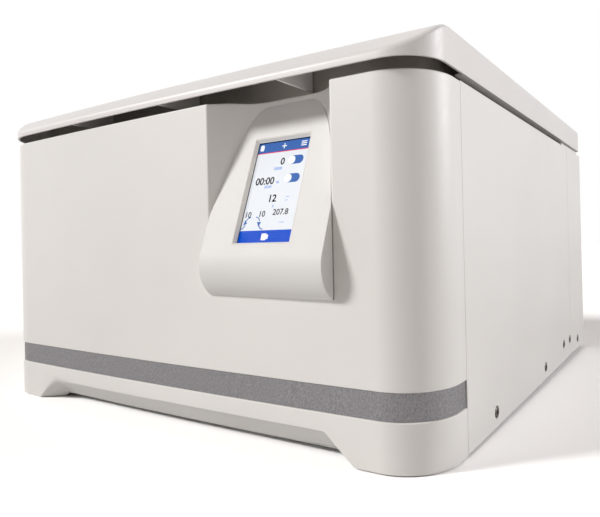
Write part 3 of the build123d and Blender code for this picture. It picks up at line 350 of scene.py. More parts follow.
# azimuth, elevation and size are degrees
lightSettings = {
    "suns": {
        "frontLeftLight": {
            "azimuth": -47.0,
            "elevation": 32.0,
            "strength": 2.52,
            "size": 12.0,
            "colour": (1.0, 0.993, 0.983),
        },
        "rearRightLight": {
            "azimuth": 120.0,
            "elevation": 19.0,
            "strength": 1.80,
            "size": 26.0,
            "colour": (0.985, 0.985, 1.0),
        },
    },
    "worldStrength": 0.21,
    "worldColour": (1.0, 0.88, 0.80),
    "floorSeen": (0.98, 0.38),  # two layers, together brighter than white
    "floorBounce": 0.73,
    "floorSize": 30.0,
}


def addNode(tree, kind, **sockets):
    node = tree.nodes.new("ShaderNode" + kind)
    for socket, value in sockets.items():
        node.inputs[socket].default_value = value
    return node


def addSun(name, azimuth, elevation, strength, size, colour):
    data = bpy.data.lights.new(name, "SUN")
    data.energy = strength
    data.angle = math.radians(size)
    data.color = colour
    sun = bpy.data.objects.new(name, data)
    bpy.context.scene.collection.objects.link(sun)
    a, e = math.radians(azimuth), math.radians(elevation)
    towards = Vector((math.sin(a) * math.cos(e), -math.cos(a) * math.cos(e), math.sin(e)))
    sun.rotation_euler = towards.to_track_quat("Z", "Y").to_euler()


def makeLight():
    for name, settings in lightSettings["suns"].items():
        addSun(name, **settings)
    world = bpy.data.worlds.new("studio")
    bpy.context.scene.world = world
    world.use_nodes = True
    tree = world.node_tree
    soft = tree.nodes["Background"]
    soft.inputs["Color"].default_value = (*lightSettings["worldColour"], 1)
    soft.inputs["Strength"].default_value = lightSettings["worldStrength"]
    white = addNode(tree, "Background", Color=(1, 1, 1, 1), Strength=1.0)
    rays = addNode(tree, "LightPath")
    seen, mirrored = addNode(tree, "Math"), addNode(tree, "Math")
    seen.operation = mirrored.operation = "MAXIMUM"
    mix = addNode(tree, "MixShader")
    tree.links.new(rays.outputs["Is Camera Ray"], seen.inputs[0])
    tree.links.new(rays.outputs["Is Transmission Ray"], seen.inputs[1])
    tree.links.new(seen.outputs[0], mirrored.inputs[0])
    tree.links.new(rays.outputs["Is Glossy Ray"], mirrored.inputs[1])
    tree.links.new(mirrored.outputs[0], mix.inputs[0])
    tree.links.new(soft.outputs[0], mix.inputs[1])
    tree.links.new(white.outputs[0], mix.inputs[2])
    tree.links.new(mix.outputs[0], tree.nodes["World Output"].inputs["Surface"])


def makeFloor():
    deselectAll()
    bpy.ops.mesh.primitive_plane_add(size=lightSettings["floorSize"], location=(0, 0, 0))
    floor = bpy.context.object
    floor.name = "floor"
    place(floor)
    material = bpy.data.materials.new("floorWhite")
    material.use_nodes = True
    tree = material.node_tree
    bounce = addNode(tree, "BsdfDiffuse", Color=(*[lightSettings["floorBounce"]] * 3, 1))
    add = addNode(tree, "AddShader")
    for socket, white in zip(add.inputs, lightSettings["floorSeen"]):
        layer = addNode(tree, "BsdfDiffuse", Color=(white, white, white, 1))
        tree.links.new(layer.outputs[0], socket)
    rays = addNode(tree, "LightPath")
    mix = addNode(tree, "MixShader")
    tree.links.new(rays.outputs["Is Camera Ray"], mix.inputs[0])
    tree.links.new(bounce.outputs[0], mix.inputs[1])
    tree.links.new(add.outputs[0], mix.inputs[2])
    tree.links.new(mix.outputs[0], tree.nodes["Material Output"].inputs["Surface"])
    floor.data.materials.append(material)


materials = {}


def newMaterial(name, colour, roughness, metallic=0.0):
    material = bpy.data.materials.new(name)
    material.use_nodes = True
    shader = material.node_tree.nodes["Principled BSDF"]
    shader.inputs["Base Color"].default_value = (*colour, 1)
    shader.inputs["Roughness"].default_value = roughness
    shader.inputs["Metallic"].default_value = metallic
    materials[name] = material
    return material


def shaderInput(material, socket):
    return material.node_tree.nodes["Principled BSDF"].inputs[socket]


def noiseOf(material, scale, detail=2.0, stretch=(1, 1, 1)):
    tree = material.node_tree
    coords = addNode(tree, "TexCoord")
    mapping = addNode(tree, "Mapping", Scale=stretch)
    noise = addNode(tree, "TexNoise", Scale=scale, Detail=detail)
    tree.links.new(coords.outputs["Object"], mapping.inputs["Vector"])
    tree.links.new(mapping.outputs["Vector"], noise.inputs["Vector"])
    return noise.outputs["Fac"]


def ringsOf(material, centre):
    tree = material.node_tree
    coords = addNode(tree, "TexCoord")
    mapping = addNode(tree, "Mapping", Location=[-c for c in centre])
    rings = addNode(tree, "TexWave", Scale=160.0, Distortion=0.5, Detail=2.0)
    rings.wave_type = "RINGS"
    rings.rings_direction = "Z"
    tree.links.new(coords.outputs["Object"], mapping.inputs["Vector"])
    tree.links.new(mapping.outputs["Vector"], rings.inputs["Vector"])
    return rings.outputs["Fac"]


def tint(material, value, dark, light):
    tree = material.node_tree
    ramp = addNode(tree, "ValToRGB")
    for stop, position, colour in zip(ramp.color_ramp.elements, (0.3, 0.7), (dark, light)):
        stop.position = position
        stop.color = (*colour, 1)
    tree.links.new(value, ramp.inputs["Fac"])
    tree.links.new(ramp.outputs["Color"], shaderInput(material, "Base Color"))


def rough(material, value, low, high):
    tree = material.node_tree
    spread = addNode(tree, "MapRange")
    for socket, number in zip(("From Min", "From Max", "To Min", "To Max"), (0.3, 0.7, low, high)):
        spread.inputs[socket].default_value = number
    tree.links.new(value, spread.inputs["Value"])
    tree.links.new(spread.outputs["Result"], shaderInput(material, "Roughness"))


def relief(material, value, strength, distance):
    tree = material.node_tree
    bump = addNode(tree, "Bump", Strength=strength, Distance=distance)
    tree.links.new(value, bump.inputs["Height"])
    tree.links.new(bump.outputs["Normal"], shaderInput(material, "Normal"))


def shade(colour, factor):
    return tuple(channel * factor for channel in colour)


paints = {
    "bodyPaint": {"colour": (0.835, 0.815, 0.79)},
    # painted shade: the lid has the body's paint made darker, to tone down the light its sloped front
    # and sides catch
    "lidPaint": {"colour": (0.78, 0.753, 0.738), "roughness": 0.4},
    "blackPaint": {"colour": (0.02, 0.02, 0.022), "roughness": 0.3, "grain": 0.1},
}


def powderCoat(name, colour, roughness=0.42, grain=0.05):
    material = newMaterial(name, colour, roughness)
    tint(material, noiseOf(material, 5.0, 3.0), shade(colour, 0.975), shade(colour, 1.02))
    rough(material, noiseOf(material, 160.0), roughness - 0.04, roughness + 0.05)
    relief(material, noiseOf(material, 900.0), grain, 0.0003)


def speckledFoil():
    dark, light = (0.215, 0.21, 0.22), (0.365, 0.355, 0.368)
    material = newMaterial("stripe", dark, 0.45, 0.5)
    tint(material, noiseOf(material, 780.0, 3.0, (1, 1, 0.6)), dark, light)
    rough(material, noiseOf(material, 620.0), 0.4, 0.55)
    relief(material, noiseOf(material, 900.0), 0.12, 0.0002)


plastics = {
    "podPlastic": {"colour": (0.80, 0.785, 0.768), "roughness": 0.58},
    "coverPlastic": {"colour": (0.78, 0.76, 0.73)},
    # painted light: the bezel's glow brightens its shaded window walls, though the bezel is no lamp
    "bezelPlastic": {"colour": (0.80, 0.77, 0.72), "roughness": 0.5, "glow": 0.14},
    "blackPlastic": {"colour": (0.018, 0.018, 0.02), "roughness": 0.42, "grain": 0.1},
}


def mouldedPlastic(name, colour, roughness=0.38, grain=0.04, glow=0.0):
    material = newMaterial(name, colour, roughness)
    # a glow above zero is painted light, since a moulded plastic is no lamp
    shaderInput(material, "Emission Color").default_value = (*colour, 1)
    shaderInput(material, "Emission Strength").default_value = glow
    tint(material, noiseOf(material, 9.0), shade(colour, 0.985), shade(colour, 1.01))
    rough(material, noiseOf(material, 240.0), roughness - 0.03, roughness + 0.05)
    relief(material, noiseOf(material, 1400.0, 3.0), grain, 0.0002)


# the stretch is small along the brush lines
sheets = {
    "deckSteel": {"colour": (0.56, 0.54, 0.51), "stretch": (0.02, 1, 1), "roughness": 0.4},
    "linerSteel": {"colour": (0.50, 0.47, 0.44), "stretch": (0.02, 1, 1), "roughness": 0.42},
    "finMetal": {"colour": (0.70, 0.71, 0.72), "stretch": (1, 1, 0.05), "roughness": 0.34},
    "copper": {"colour": (0.72, 0.37, 0.22), "stretch": (1, 1, 1), "roughness": 0.3},
}


def brushedSheet(name, colour, stretch, roughness):
    material = newMaterial(name, colour, roughness, 1.0)
    lines = noiseOf(material, 900.0, 4.0, stretch)
    tint(material, lines, shade(colour, 0.95), shade(colour, 1.04))
    rough(material, lines, roughness - 0.03, roughness + 0.05)
    relief(material, lines, 0.02, 0.0001)


turnings = {
    "bowlSteel": {"colour": (0.66, 0.66, 0.66), "roughness": 0.28},
    "rotorMetal": {"colour": (0.20, 0.21, 0.225), "roughness": 0.36},
    "bucketMetal": {"colour": (0.60, 0.61, 0.63), "roughness": 0.32},
    "shaftMetal": {"colour": (0.70, 0.70, 0.71), "roughness": 0.18},
}


def turnedMetal(name, colour, roughness):
    low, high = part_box("chamber_bowl")
    centre = ((low.x + high.x) / 2, (low.y + high.y) / 2, 0)
    material = newMaterial(name, colour, roughness, 1.0)
    rings = ringsOf(material, centre)
    tint(material, rings, shade(colour, 0.97), shade(colour, 1.02))
    rough(material, noiseOf(material, 14.0), roughness - 0.02, roughness + 0.04)
    relief(material, rings, 0.006, 0.0001)


rubbers = {"blackRubber": (0.02, 0.02, 0.02), "greyRubber": (0.10, 0.10, 0.105)}


def rubber(name, colour):
    material = newMaterial(name, colour, 0.8)
    tint(material, noiseOf(material, 40.0, 4.0), shade(colour, 0.8), shade(colour, 1.35))
    rough(material, noiseOf(material, 120.0), 0.7, 0.9)
    relief(material, noiseOf(material, 1100.0, 3.0), 0.25, 0.0003)


def castPaint():
    colour = (0.10, 0.105, 0.11)
    material = newMaterial("castGrey", colour, 0.5)
    tint(material, noiseOf(material, 20.0, 4.0), shade(colour, 0.85), shade(colour, 1.12))
    rough(material, noiseOf(material, 90.0), 0.42, 0.6)
    relief(material, noiseOf(material, 340.0, 4.0), 0.25, 0.0005)


platings = {"zinc": (0.62, 0.62, 0.6), "screwSteel": (0.17, 0.15, 0.135)}


def platedSteel(name, colour):
    material = newMaterial(name, colour, 0.35, 1.0)
    tint(material, noiseOf(material, 55.0, 5.0), shade(colour, 0.8), shade(colour, 1.15))
    rough(material, noiseOf(material, 80.0, 4.0), 0.26, 0.48)
    relief(material, noiseOf(material, 500.0), 0.05, 0.0002)


def foam():
    material = newMaterial("foam", (0.72, 0.66, 0.5), 0.9)
    tint(material, noiseOf(material, 160.0, 4.0), (0.6, 0.54, 0.4), (0.8, 0.74, 0.58))
    rough(material, noiseOf(material, 200.0), 0.85, 0.97)
    relief(material, noiseOf(material, 420.0, 5.0), 0.6, 0.001)


def circuitBoard():
    material = newMaterial("board", (0.03, 0.16, 0.07), 0.4)
    tracks = noiseOf(material, 330.0, 1.0)
    tint(material, tracks, (0.02, 0.12, 0.05), (0.05, 0.24, 0.1))
    rough(material, tracks, 0.3, 0.5)
    relief(material, tracks, 0.2, 0.0003)


panes = {"touchGlass": 0.03, "windowGlass": 0.3}  # how much each hides


def clearPane(name, haze):
    material = newMaterial(name, (0.04, 0.05, 0.055), 0.08)
    shaderInput(material, "Alpha").default_value = haze
    shaderInput(material, "Specular IOR Level").default_value = 0.08
    rough(material, noiseOf(material, 30.0, 3.0), 0.06, 0.12)


prints = {
    "screenBody": {"colour": (0.815, 0.845, 0.89)},
    "screenBlue": {"colour": (0.055, 0.145, 0.44)},
    "screenBright": {"colour": (0.0, 0.075, 0.60)},
    "screenWhite": {"colour": (0.95, 0.96, 0.98)},
    "screenRed": {"colour": (0.78, 0.06, 0.16)},
    "screenInk": {"colour": (0.008, 0.009, 0.018), "glow": 0.4},
    "screenPale": {"colour": (0.22, 0.36, 0.78)},
}


def litPrint(name, colour, glow=0.85):
    material = newMaterial(name, shade(colour, 0.3), 0.9)
    shaderInput(material, "Specular IOR Level").default_value = 0.0
    shaderInput(material, "Emission Color").default_value = (*colour, 1)
    shaderInput(material, "Emission Strength").default_value = glow
    pixels = noiseOf(material, 2600.0, 0.0)
    tint(material, pixels, shade(colour, 0.29), shade(colour, 0.31))


def makeMaterials():
    for table, make in (
        (paints, powderCoat),
        (plastics, mouldedPlastic),
        (sheets, brushedSheet),
        (turnings, turnedMetal),
        (prints, litPrint),
    ):
        for name, look in table.items():
            make(name, **look)
    for table, make in ((rubbers, rubber), (platings, platedSteel), (panes, clearPane)):
        for name, look in table.items():
            make(name, look)
    speckledFoil()
    castPaint()
    foam()
    circuitBoard()


slotMaterials = {
    "body_paint": "bodyPaint",
    "stripe_paint": "stripe",
    "pod_plastic": "podPlastic",
    "bezel_plastic": "bezelPlastic",
    "display_glass": "touchGlass",
    "window_glass": "windowGlass",
    "display_panel": "screenBody",
    "lid_paint": "lidPaint",
    "liner_steel": "linerSteel",
    "deck_steel": "deckSteel",
    "bowl_steel": "bowlSteel",
    "cover_plastic": "coverPlastic",
    "zinc_steel": "zinc",
    "black_rubber": "blackRubber",
    "grey_rubber": "greyRubber",
    "insulation_foam": "foam",
    "copper": "copper",
    "cast_grey": "castGrey",
    "rotor_alloy": "rotorMetal",
    "bucket_alloy": "bucketMetal",
    "shaft_steel": "shaftMetal",
    "black_plastic": "blackPlastic",
    "board_green": "board",
    "fin_aluminium": "finMetal",
    "compressor_black": "blackPaint",
}


def dressNodes():
    for part in frame["record"]["subparts"]:
        node = nodes[part["node"]]
        node.data.materials.clear()
        node.data.materials.append(materials[slotMaterials[part["material_slot"]]])


def keep(piece, body, slot, material, *replaced):
    piece.location.z += datum
    place(piece)
    piece.data.materials.clear()
    piece.data.materials.append(materials[material])
    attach(piece, body)
    if replaced:
        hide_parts(*replaced)


# how wide the edges of the fittings are eased
easedEdges = {
    0.0004: ("hinge_brackets",),
    0.0005: ("latch_frames", "latch_hook_left", "latch_hook_right", "latch_strikers", "motor_plate"),
    0.0006: ("power_rocker", "switch_frame", "mains_inlet", "hinge_covers", "display_bezel"),
    0.0008: ("hinge_arms", "rear_bumpers", "feet", "drive_inverter", "condenser", "fan_shroud"),
    0.0009: ("rotor_body", "rotor_nut", "bucket_1", "bucket_2", "bucket_3", "bucket_4"),
}


def easeEdges(node, width):
    skin = node.modifiers.new("one skin", "WELD")
    skin.merge_threshold = 0.00001
    addBevel(node, width, 2, 40.0)
    even = node.modifiers.new("even shading", "WEIGHTED_NORMAL")
    even.keep_sharp = True


makeMaterials()
dressNodes()
for width, names in easedEdges.items():
    for name in names:
        easeEdges(nodes[name], width)
print("materials made")

fascia = {
    "wall": 0.0026,
    "topRound": 0.0020,
    "topWidth": 0.0030,
    "bottomRound": 0.0006,
    "ledge": 0.0030,
    "nicheCentre": 0.178,
    "nicheBackY": -0.3192,
    "nicheBackHalf": 0.0570,
    "nicheFlushY": -0.36303,
    "nicheFrontHalf": 0.0850,
    "nicheCorner": 0.0500,
    "cornerSteps": 14,
    "nicheEdge": 0.0032,
    "nicheBottom": 0.1605,
    "nicheRise": 0.0034,  # the niche's back wall ends this much higher
    "riseBand": 0.0040,
    "riseStart": 0.0010,
    "riseRun": 0.0260,
}


def roundSection(radius, z, steps=4):
    quarter = [math.radians(90 * i / steps) for i in range(steps + 1)]
    return [(radius * (1 - math.cos(a)), z - radius * (1 - math.sin(a))) for a in quarter]


def nicheFacts():
    s = fascia
    depth = s["nicheBackY"] - s["nicheFlushY"]
    slant = math.atan2(depth, s["nicheFrontHalf"] - s["nicheBackHalf"])
    ends = []
    for hand in (-1, 1):
        x = s["nicheCentre"] + hand * s["nicheFrontHalf"]
        for _ in range(4):  # closes in on the point where the slanted wall meets the bow
            drop = s["nicheBackY"] - bowY(x, case["apexY"])
            x = s["nicheCentre"] + hand * (s["nicheBackHalf"] + drop / math.tan(slant))
        ends.append((x, drop / math.sin(slant)))
    return slant, ends


def drawUpperFront(pen):
    s = fascia
    slant, ((leftX, leftRun), (rightX, rightRun)) = nicheFacts()
    angle = math.degrees(slant)
    edgeCut = s["nicheEdge"] * math.tan(slant / 2)
    cornerCut = s["nicheCorner"] * math.tan(slant / 2)
    toFront(pen)
    alongFront(pen, leftX - edgeCut, 12)
    bend(pen, s["nicheEdge"], angle - math.degrees(pen["heading"]), 6)
    go(pen, leftRun - edgeCut - cornerCut)
    bend(pen, s["nicheCorner"], -angle, s["cornerSteps"])
    go(pen, 2 * (s["nicheBackHalf"] - cornerCut), 3)
    bend(pen, s["nicheCorner"], -angle, s["cornerSteps"])
    go(pen, rightRun - edgeCut - cornerCut)
    bend(pen, s["nicheEdge"], angle + bowAngle(rightX + edgeCut), 6)
    toRightSeam(pen)


def makeFascia():
    s = fascia
    top, base = case["panelTop"], case["stripeTop"]
    upperSection = [(0, s["nicheBottom"])] + roundSection(s["topRound"], top) + [(s["topWidth"], top)]
    pen = penAtLeftSeam()
    upper = startWall("frontFascia", pen, upperSection)
    drawUpperFront(pen)
    done()
    start = s["nicheFlushY"] + s["riseStart"]
    for vertex in upper.data.vertices:
        x, y, z = vertex.co
        inNiche = abs(x - s["nicheCentre"]) < s["nicheFrontHalf"] + 0.012
        if inNiche and z > top - s["riseBand"] and y > start:
            t = min(1, (y - start) / s["riseRun"])
            vertex.co.z += s["nicheRise"] * t * t * (3 - 2 * t)
    lowerSection = [
        (s["ledge"], case["stripeBottom"]),
        (s["ledge"], base),
        (s["bottomRound"], base),
        (0, base + s["bottomRound"]),
        (0, s["nicheBottom"]),
    ]
    slant, ((leftX, _), (rightX, _)) = nicheFacts()
    edgeCut = s["nicheEdge"] * math.tan(slant / 2)
    pen = penAtLeftSeam()
    lower = startWall("lowerFront", pen, lowerSection)
    toFront(pen)
    alongFront(pen, leftX - edgeCut, 12)
    alongFront(pen, rightX + edgeCut, 8)
    toRightSeam(pen)
    done()
    piece = join(upper, lower)
    weld(piece)
    outward(piece)
    thicken(piece, s["wall"])
    smooth(piece, 30)
    keep(piece, "body", "body_paint", "bodyPaint", "front_fascia")


makeFascia()
print("fascia made")

stripe = {"recess": 0.0015, "thickness": 0.0012, "play": 0.0002}


def makeStripe():
    s = stripe
    low, high = case["stripeBottom"] + s["play"], case["stripeTop"] - s["play"]
    pen = penAtLeftSeam()
    piece = startWall("greyStripe", pen, [(s["recess"], low), (s["recess"], high)])
    toFront(pen)
    alongFront(pen, 0.0, 14)
    toRightSeam(pen)
    done()
    outward(piece)
    thicken(piece, s["thickness"])
    smooth(piece, 40)
    keep(piece, "body", "stripe_paint", "stripe", "accent_stripe")


skirt = {
    "bottom": -0.0025,
    "lift": 0.0305,
    "leftSlope": (-0.274, -0.233),
    "rightSlope": (0.2805, 0.2465),
    "topEdge": [(0.0029, 0.0), (0.0015, 0.0), (0.0005, -0.0004), (0.0, -0.0014)],
    "faceTop": 0.034,
    "lipDepth": 0.0230,
    "lipEnds": (0.0229, 0.0236, 0.0270),
    "lipBottom": 0.0035,
    "edge": 0.0014,
    "wall": 0.0025,
    "softness": 0.05,
    "leftSoftness": 0.22,
    "flare": 1.2,  # the left foot's inner face turns to the front
    "leftRound": 0.0036,
    "leftRoundSpan": (-0.274, -0.192),
    "leftRoundRuns": (0.020, 0.030),
    "leastKnee": 0.0006,
    "footFlat": 0.0004,
    "stations": [(-0.280, 2), (-0.190, 50), (0.240, 24), (0.288, 28)],
    "footEnd": 0.295,
}


def softClamp(t, low, high):
    t = (t + math.sqrt(t * t + low * low)) / 2
    return 1 - (1 - t + math.sqrt((1 - t) ** 2 + high * high)) / 2


def skirtLift(x):
    s = skirt
    rise = 1.0
    for (start, end), high in ((s["leftSlope"], s["leftSoftness"]), (s["rightSlope"], s["softness"])):
        rise = min(rise, softClamp((x - start) / (end - start), s["softness"], high))
    return s["lift"] * max(0.0, rise)


def shapeFeet(piece):
    s = skirt
    e, lipStart = s["edge"], s["lipEnds"][0]
    slope = (s["bottom"] + s["lift"] - s["lipBottom"]) / s["lipDepth"]
    start, end = s["leftSlope"]
    flare = s["flare"] * s["lift"] / (end - start)
    (roundStart, roundEnd), (fadeIn, fadeOut) = s["leftRoundSpan"], s["leftRoundRuns"]
    for vertex in piece.data.vertices:
        x, y, z = vertex.co
        if abs(x) > s["footEnd"] or z > s["faceTop"] - 0.001:
            continue
        front = bowY(x, case["apexY"])
        inset, rise = y - front, z - s["bottom"]
        lift = skirtLift(x)
        fall = flare if x < 0 else 0.0
        bump = max(0.0, min(1.0, (x - roundStart) / fadeIn, (roundEnd - x) / fadeOut))
        grow = 1 + s["leftRound"] * bump / e
        if inset < e + 0.0002:  # the front face and its lower edge
            vertex.co.y = front + inset * grow
            vertex.co.z = s["bottom"] + lift + rise * grow - fall * inset * grow
        elif inset < lipStart + 0.0002:  # where the foot or the opening meets the sloping lip
            knee = min(lipStart, (s["lift"] - lift) / (slope - fall))
            if x < 0 and lift > s["footFlat"]:
                knee = min(knee, lift / fall)
            knee = max(e * grow + s["leastKnee"], knee)
            vertex.co.y = front + knee
            vertex.co.z = s["bottom"] + max(0.0, min(lift - fall * knee, s["lift"] - slope * (knee - e)))


def makeSkirt():
    s = skirt
    top, bottom, e = case["stripeBottom"], s["bottom"], s["edge"]
    lipStart, lipEnd, lipBack = s["lipEnds"]
    section = [(inset, top + drop) for inset, drop in s["topEdge"]] + [
        (0.0, s["faceTop"]),
        (0.0, bottom + e),
        (e * 0.3, bottom + e * 0.3),
        (e, bottom),
        (lipStart, bottom),
        (lipEnd, s["lipBottom"]),
        (lipBack, s["lipBottom"]),
    ]
    pen = penAtLeftSeam()
    piece = startWall("frontSkirt", pen, section)
    toFront(pen)
    for x, steps in s["stations"]:
        alongFront(pen, x, steps)
    toRightSeam(pen)
    done()
    shapeFeet(piece)
    outward(piece)
    thicken(piece, s["wall"])
    smooth(piece, 32)
    keep(piece, "body", "body_paint", "bodyPaint", "front_skirt")


makeStripe()
makeSkirt()
print("stripe and skirt made")

side = {
    "inner": 0.3660,
    "outer": 0.3675,
    "front": -0.2803,
    "rear": 0.3600,
    "bottom": -0.0010,
    "top": 0.3794,
    "step": 0.1560,
    "stepHalf": 0.0010,
    "groove": 0.2360,
    "grooveHalf": 0.0005,
    "grooveDepth": 0.0002,
    "rise": {"step": 0.0050, "groove": 0.0072, "rear": 0.0062},  # the bottom edge climbs to the rear
    "screws": [(-0.189, 0.0170), (0.046, 0.0206), (0.176, 0.0333), (0.225, 0.034), (0.297, 0.024)],
    "holeRadius": 0.0075,
}


def makeRightPanel():
    s = side
    piece = block(
        "rightSidePanel", (s["inner"], s["front"], s["bottom"]), (s["outer"], s["rear"], s["top"])
    )
    editAll(piece)
    for line in ("step", "groove"):
        for y in (s[line] - s[line + "Half"], s[line] + s[line + "Half"]):
            bpy.ops.mesh.select_all(action="SELECT")
            bpy.ops.mesh.bisect(plane_co=(0, y, 0), plane_no=(0, 1, 0))
    for line, height in s["rise"].items():
        selectVerts(piece, lambda co: co.z < s["bottom"] + 0.0001 and abs(co.y - s[line]) < 0.002)
        bpy.ops.transform.translate(value=(0, 0, height))
    selectFaces(piece, lambda c, n: n.x > 0.9 and abs(c.y - s["groove"]) < 0.0004)
    extrude((-s["grooveDepth"], 0, 0))
    done()
    for y, z in s["screws"]:
        hole = rod("hole", (s["inner"] - 0.005, y, z), (s["outer"] + 0.005, y, z), s["holeRadius"], 40)
        cut(piece, hole)
    softEdges(piece, 0.0004, 2, 50)
    smooth(piece, 35)
    keep(piece, "body", "body_paint", "bodyPaint", "side_panel_right")


screw = {
    "radius": 0.0065,
    "height": 0.0022,
    "dome": 0.0014,
    "tip": 0.3682,
    "socket": 0.0028,
    "socketFloor": 0.0007,
    "shankRadius": 0.0020,
    "shankLength": 0.0026,
}


def makeScrews():
    s = screw
    heads = []
    for y, z in side["screws"]:
        for hand in (-1, 1):
            tip, base = hand * s["tip"], hand * (s["tip"] - s["height"])
            head = rod("head", (base, y, z), (tip, y, z), s["radius"], 40)
            selectFaces(head, lambda c, n: n.x * hand > 0.9)
            bpy.ops.mesh.bevel(offset=s["dome"], segments=5, affect="EDGES")
            done()
            floor = base + hand * s["socketFloor"]
            cut(head, rod("socket", (floor, y, z), (tip + hand * 0.01, y, z), s["socket"], 6))
            inner, outer = base - hand * s["shankLength"], base + hand * 0.0002
            heads += [head, rod("shank", (inner, y, z), (outer, y, z), s["shankRadius"], 24)]
    piece = join(*heads)
    piece.name = "sideScrews"
    smooth(piece, 35)
    keep(piece, "body", "zinc_steel", "screwSteel", "side_screws")


makeRightPanel()
makeScrews()
print("right side made")

pod = {
    "tilt": 19.5,
    "flushY": -0.36303,
    "flushZ": 0.2540,
    "rollZ": 0.2070,
    "rollSteps": 18,
    "lipOut": 0.0019,
    "bottom": 0.1605,
    "gap": 0.0003,
    "half": 0.0847,
    "edge": 0.0022,
    "wall": 0.0030,
    "screenUp": 0.0249,
    "screenX": 0.1790,
    "window": (0.0803, 0.1273),
    "depth": 0.0042,
}
tilt = math.radians(pod["tilt"])
screenPlane = Matrix(
    (
        (1, 0, 0, pod["screenX"]),
        (0, math.sin(tilt), -math.cos(tilt), pod["flushY"] + math.sin(tilt) * pod["screenUp"]),
        (0, math.cos(tilt), math.sin(tilt), pod["flushZ"] + math.cos(tilt) * pod["screenUp"]),
        (0, 0, 0, 1),
    )
)


def onScreen(piece):
    place(piece)
    piece.matrix_world = screenPlane @ piece.matrix_world
    place(piece)
    return piece


def podSolid(name, inset, half):
    s = pod
    left, right = fascia["nicheCentre"] - half, fascia["nicheCentre"] + half
    back = fascia["nicheBackY"] - s["gap"]
    slope = math.tan(tilt)
    inward = Vector((0, math.cos(tilt), -math.sin(tilt)))
    roll = Vector((left, s["flushY"] + (s["rollZ"] - s["flushZ"]) * slope, s["rollZ"]))
    lip = Vector((left, s["flushY"] - s["lipOut"], s["bottom"]))
    reach = lip - roll
    radius = reach.length_squared / (2 * reach.dot(inward))
    centre = roll + inward * radius
    swept = (roll - centre).angle(lip - centre)
    peak = Vector((left, back, s["flushZ"] + (back - s["flushY"]) / slope))
    piece = startChain(name, [peak + inward * inset, roll + inward * inset])
    selectVerts(piece, lambda co: co.z < s["rollZ"] + 0.002)
    bpy.ops.mesh.spin(steps=s["rollSteps"], angle=-swept, center=centre, axis=(1, 0, 0))
    end = centre + (lip - centre).normalized() * (radius - inset)
    overrun = 0.04 if inset else 0.0  # the inside runs on past the back, which leaves it open
    extrude((0, back + overrun - end.y, 0))
    return fillAndExtrude(piece, (right - left, 0, 0))


def nichePrism(grow):
    s = fascia
    slant, _ = nicheFacts()
    angle = math.degrees(slant)
    cornerCut = s["nicheCorner"] * math.tan(slant / 2)
    run = 0.075
    wallEnd = Vector((s["nicheCentre"] - s["nicheBackHalf"], s["nicheBackY"]))
    direction = Vector((math.cos(slant), math.sin(slant)))
    start = wallEnd - direction * (run + cornerCut)
    pen = penAt(start.x, start.y, slant)
    piece = startWall("prism", pen, [(grow, 0.10)])
    go(pen, run)
    bend(pen, s["nicheCorner"], -angle, s["cornerSteps"])
    go(pen, 2 * (s["nicheBackHalf"] - cornerCut))
    bend(pen, s["nicheCorner"], -angle, s["cornerSteps"])
    go(pen, run)
    return fillAndExtrude(piece, (0, 0, 0.35))


def makePod():
    s = pod
    piece = podSolid("displayPod", 0.0, s["half"])
    cut(piece, nichePrism(-s["gap"]), "INTERSECT")
    softEdges(piece, s["edge"], 4, 30)
    inner = podSolid("podInside", s["wall"], s["half"] - s["wall"])
    cut(inner, nichePrism(-s["gap"] - s["wall"]), "INTERSECT")
    cut(piece, inner)
    width, height = s["window"]
    window = block("window", (-width / 2, -height / 2, -0.02), (width / 2, height / 2, 0.01))
    cut(piece, onScreen(window))
    smooth(piece, 28)
    keep(piece, "body", "pod_plastic", "podPlastic", "display_housing")


makePod()
print("pod made")

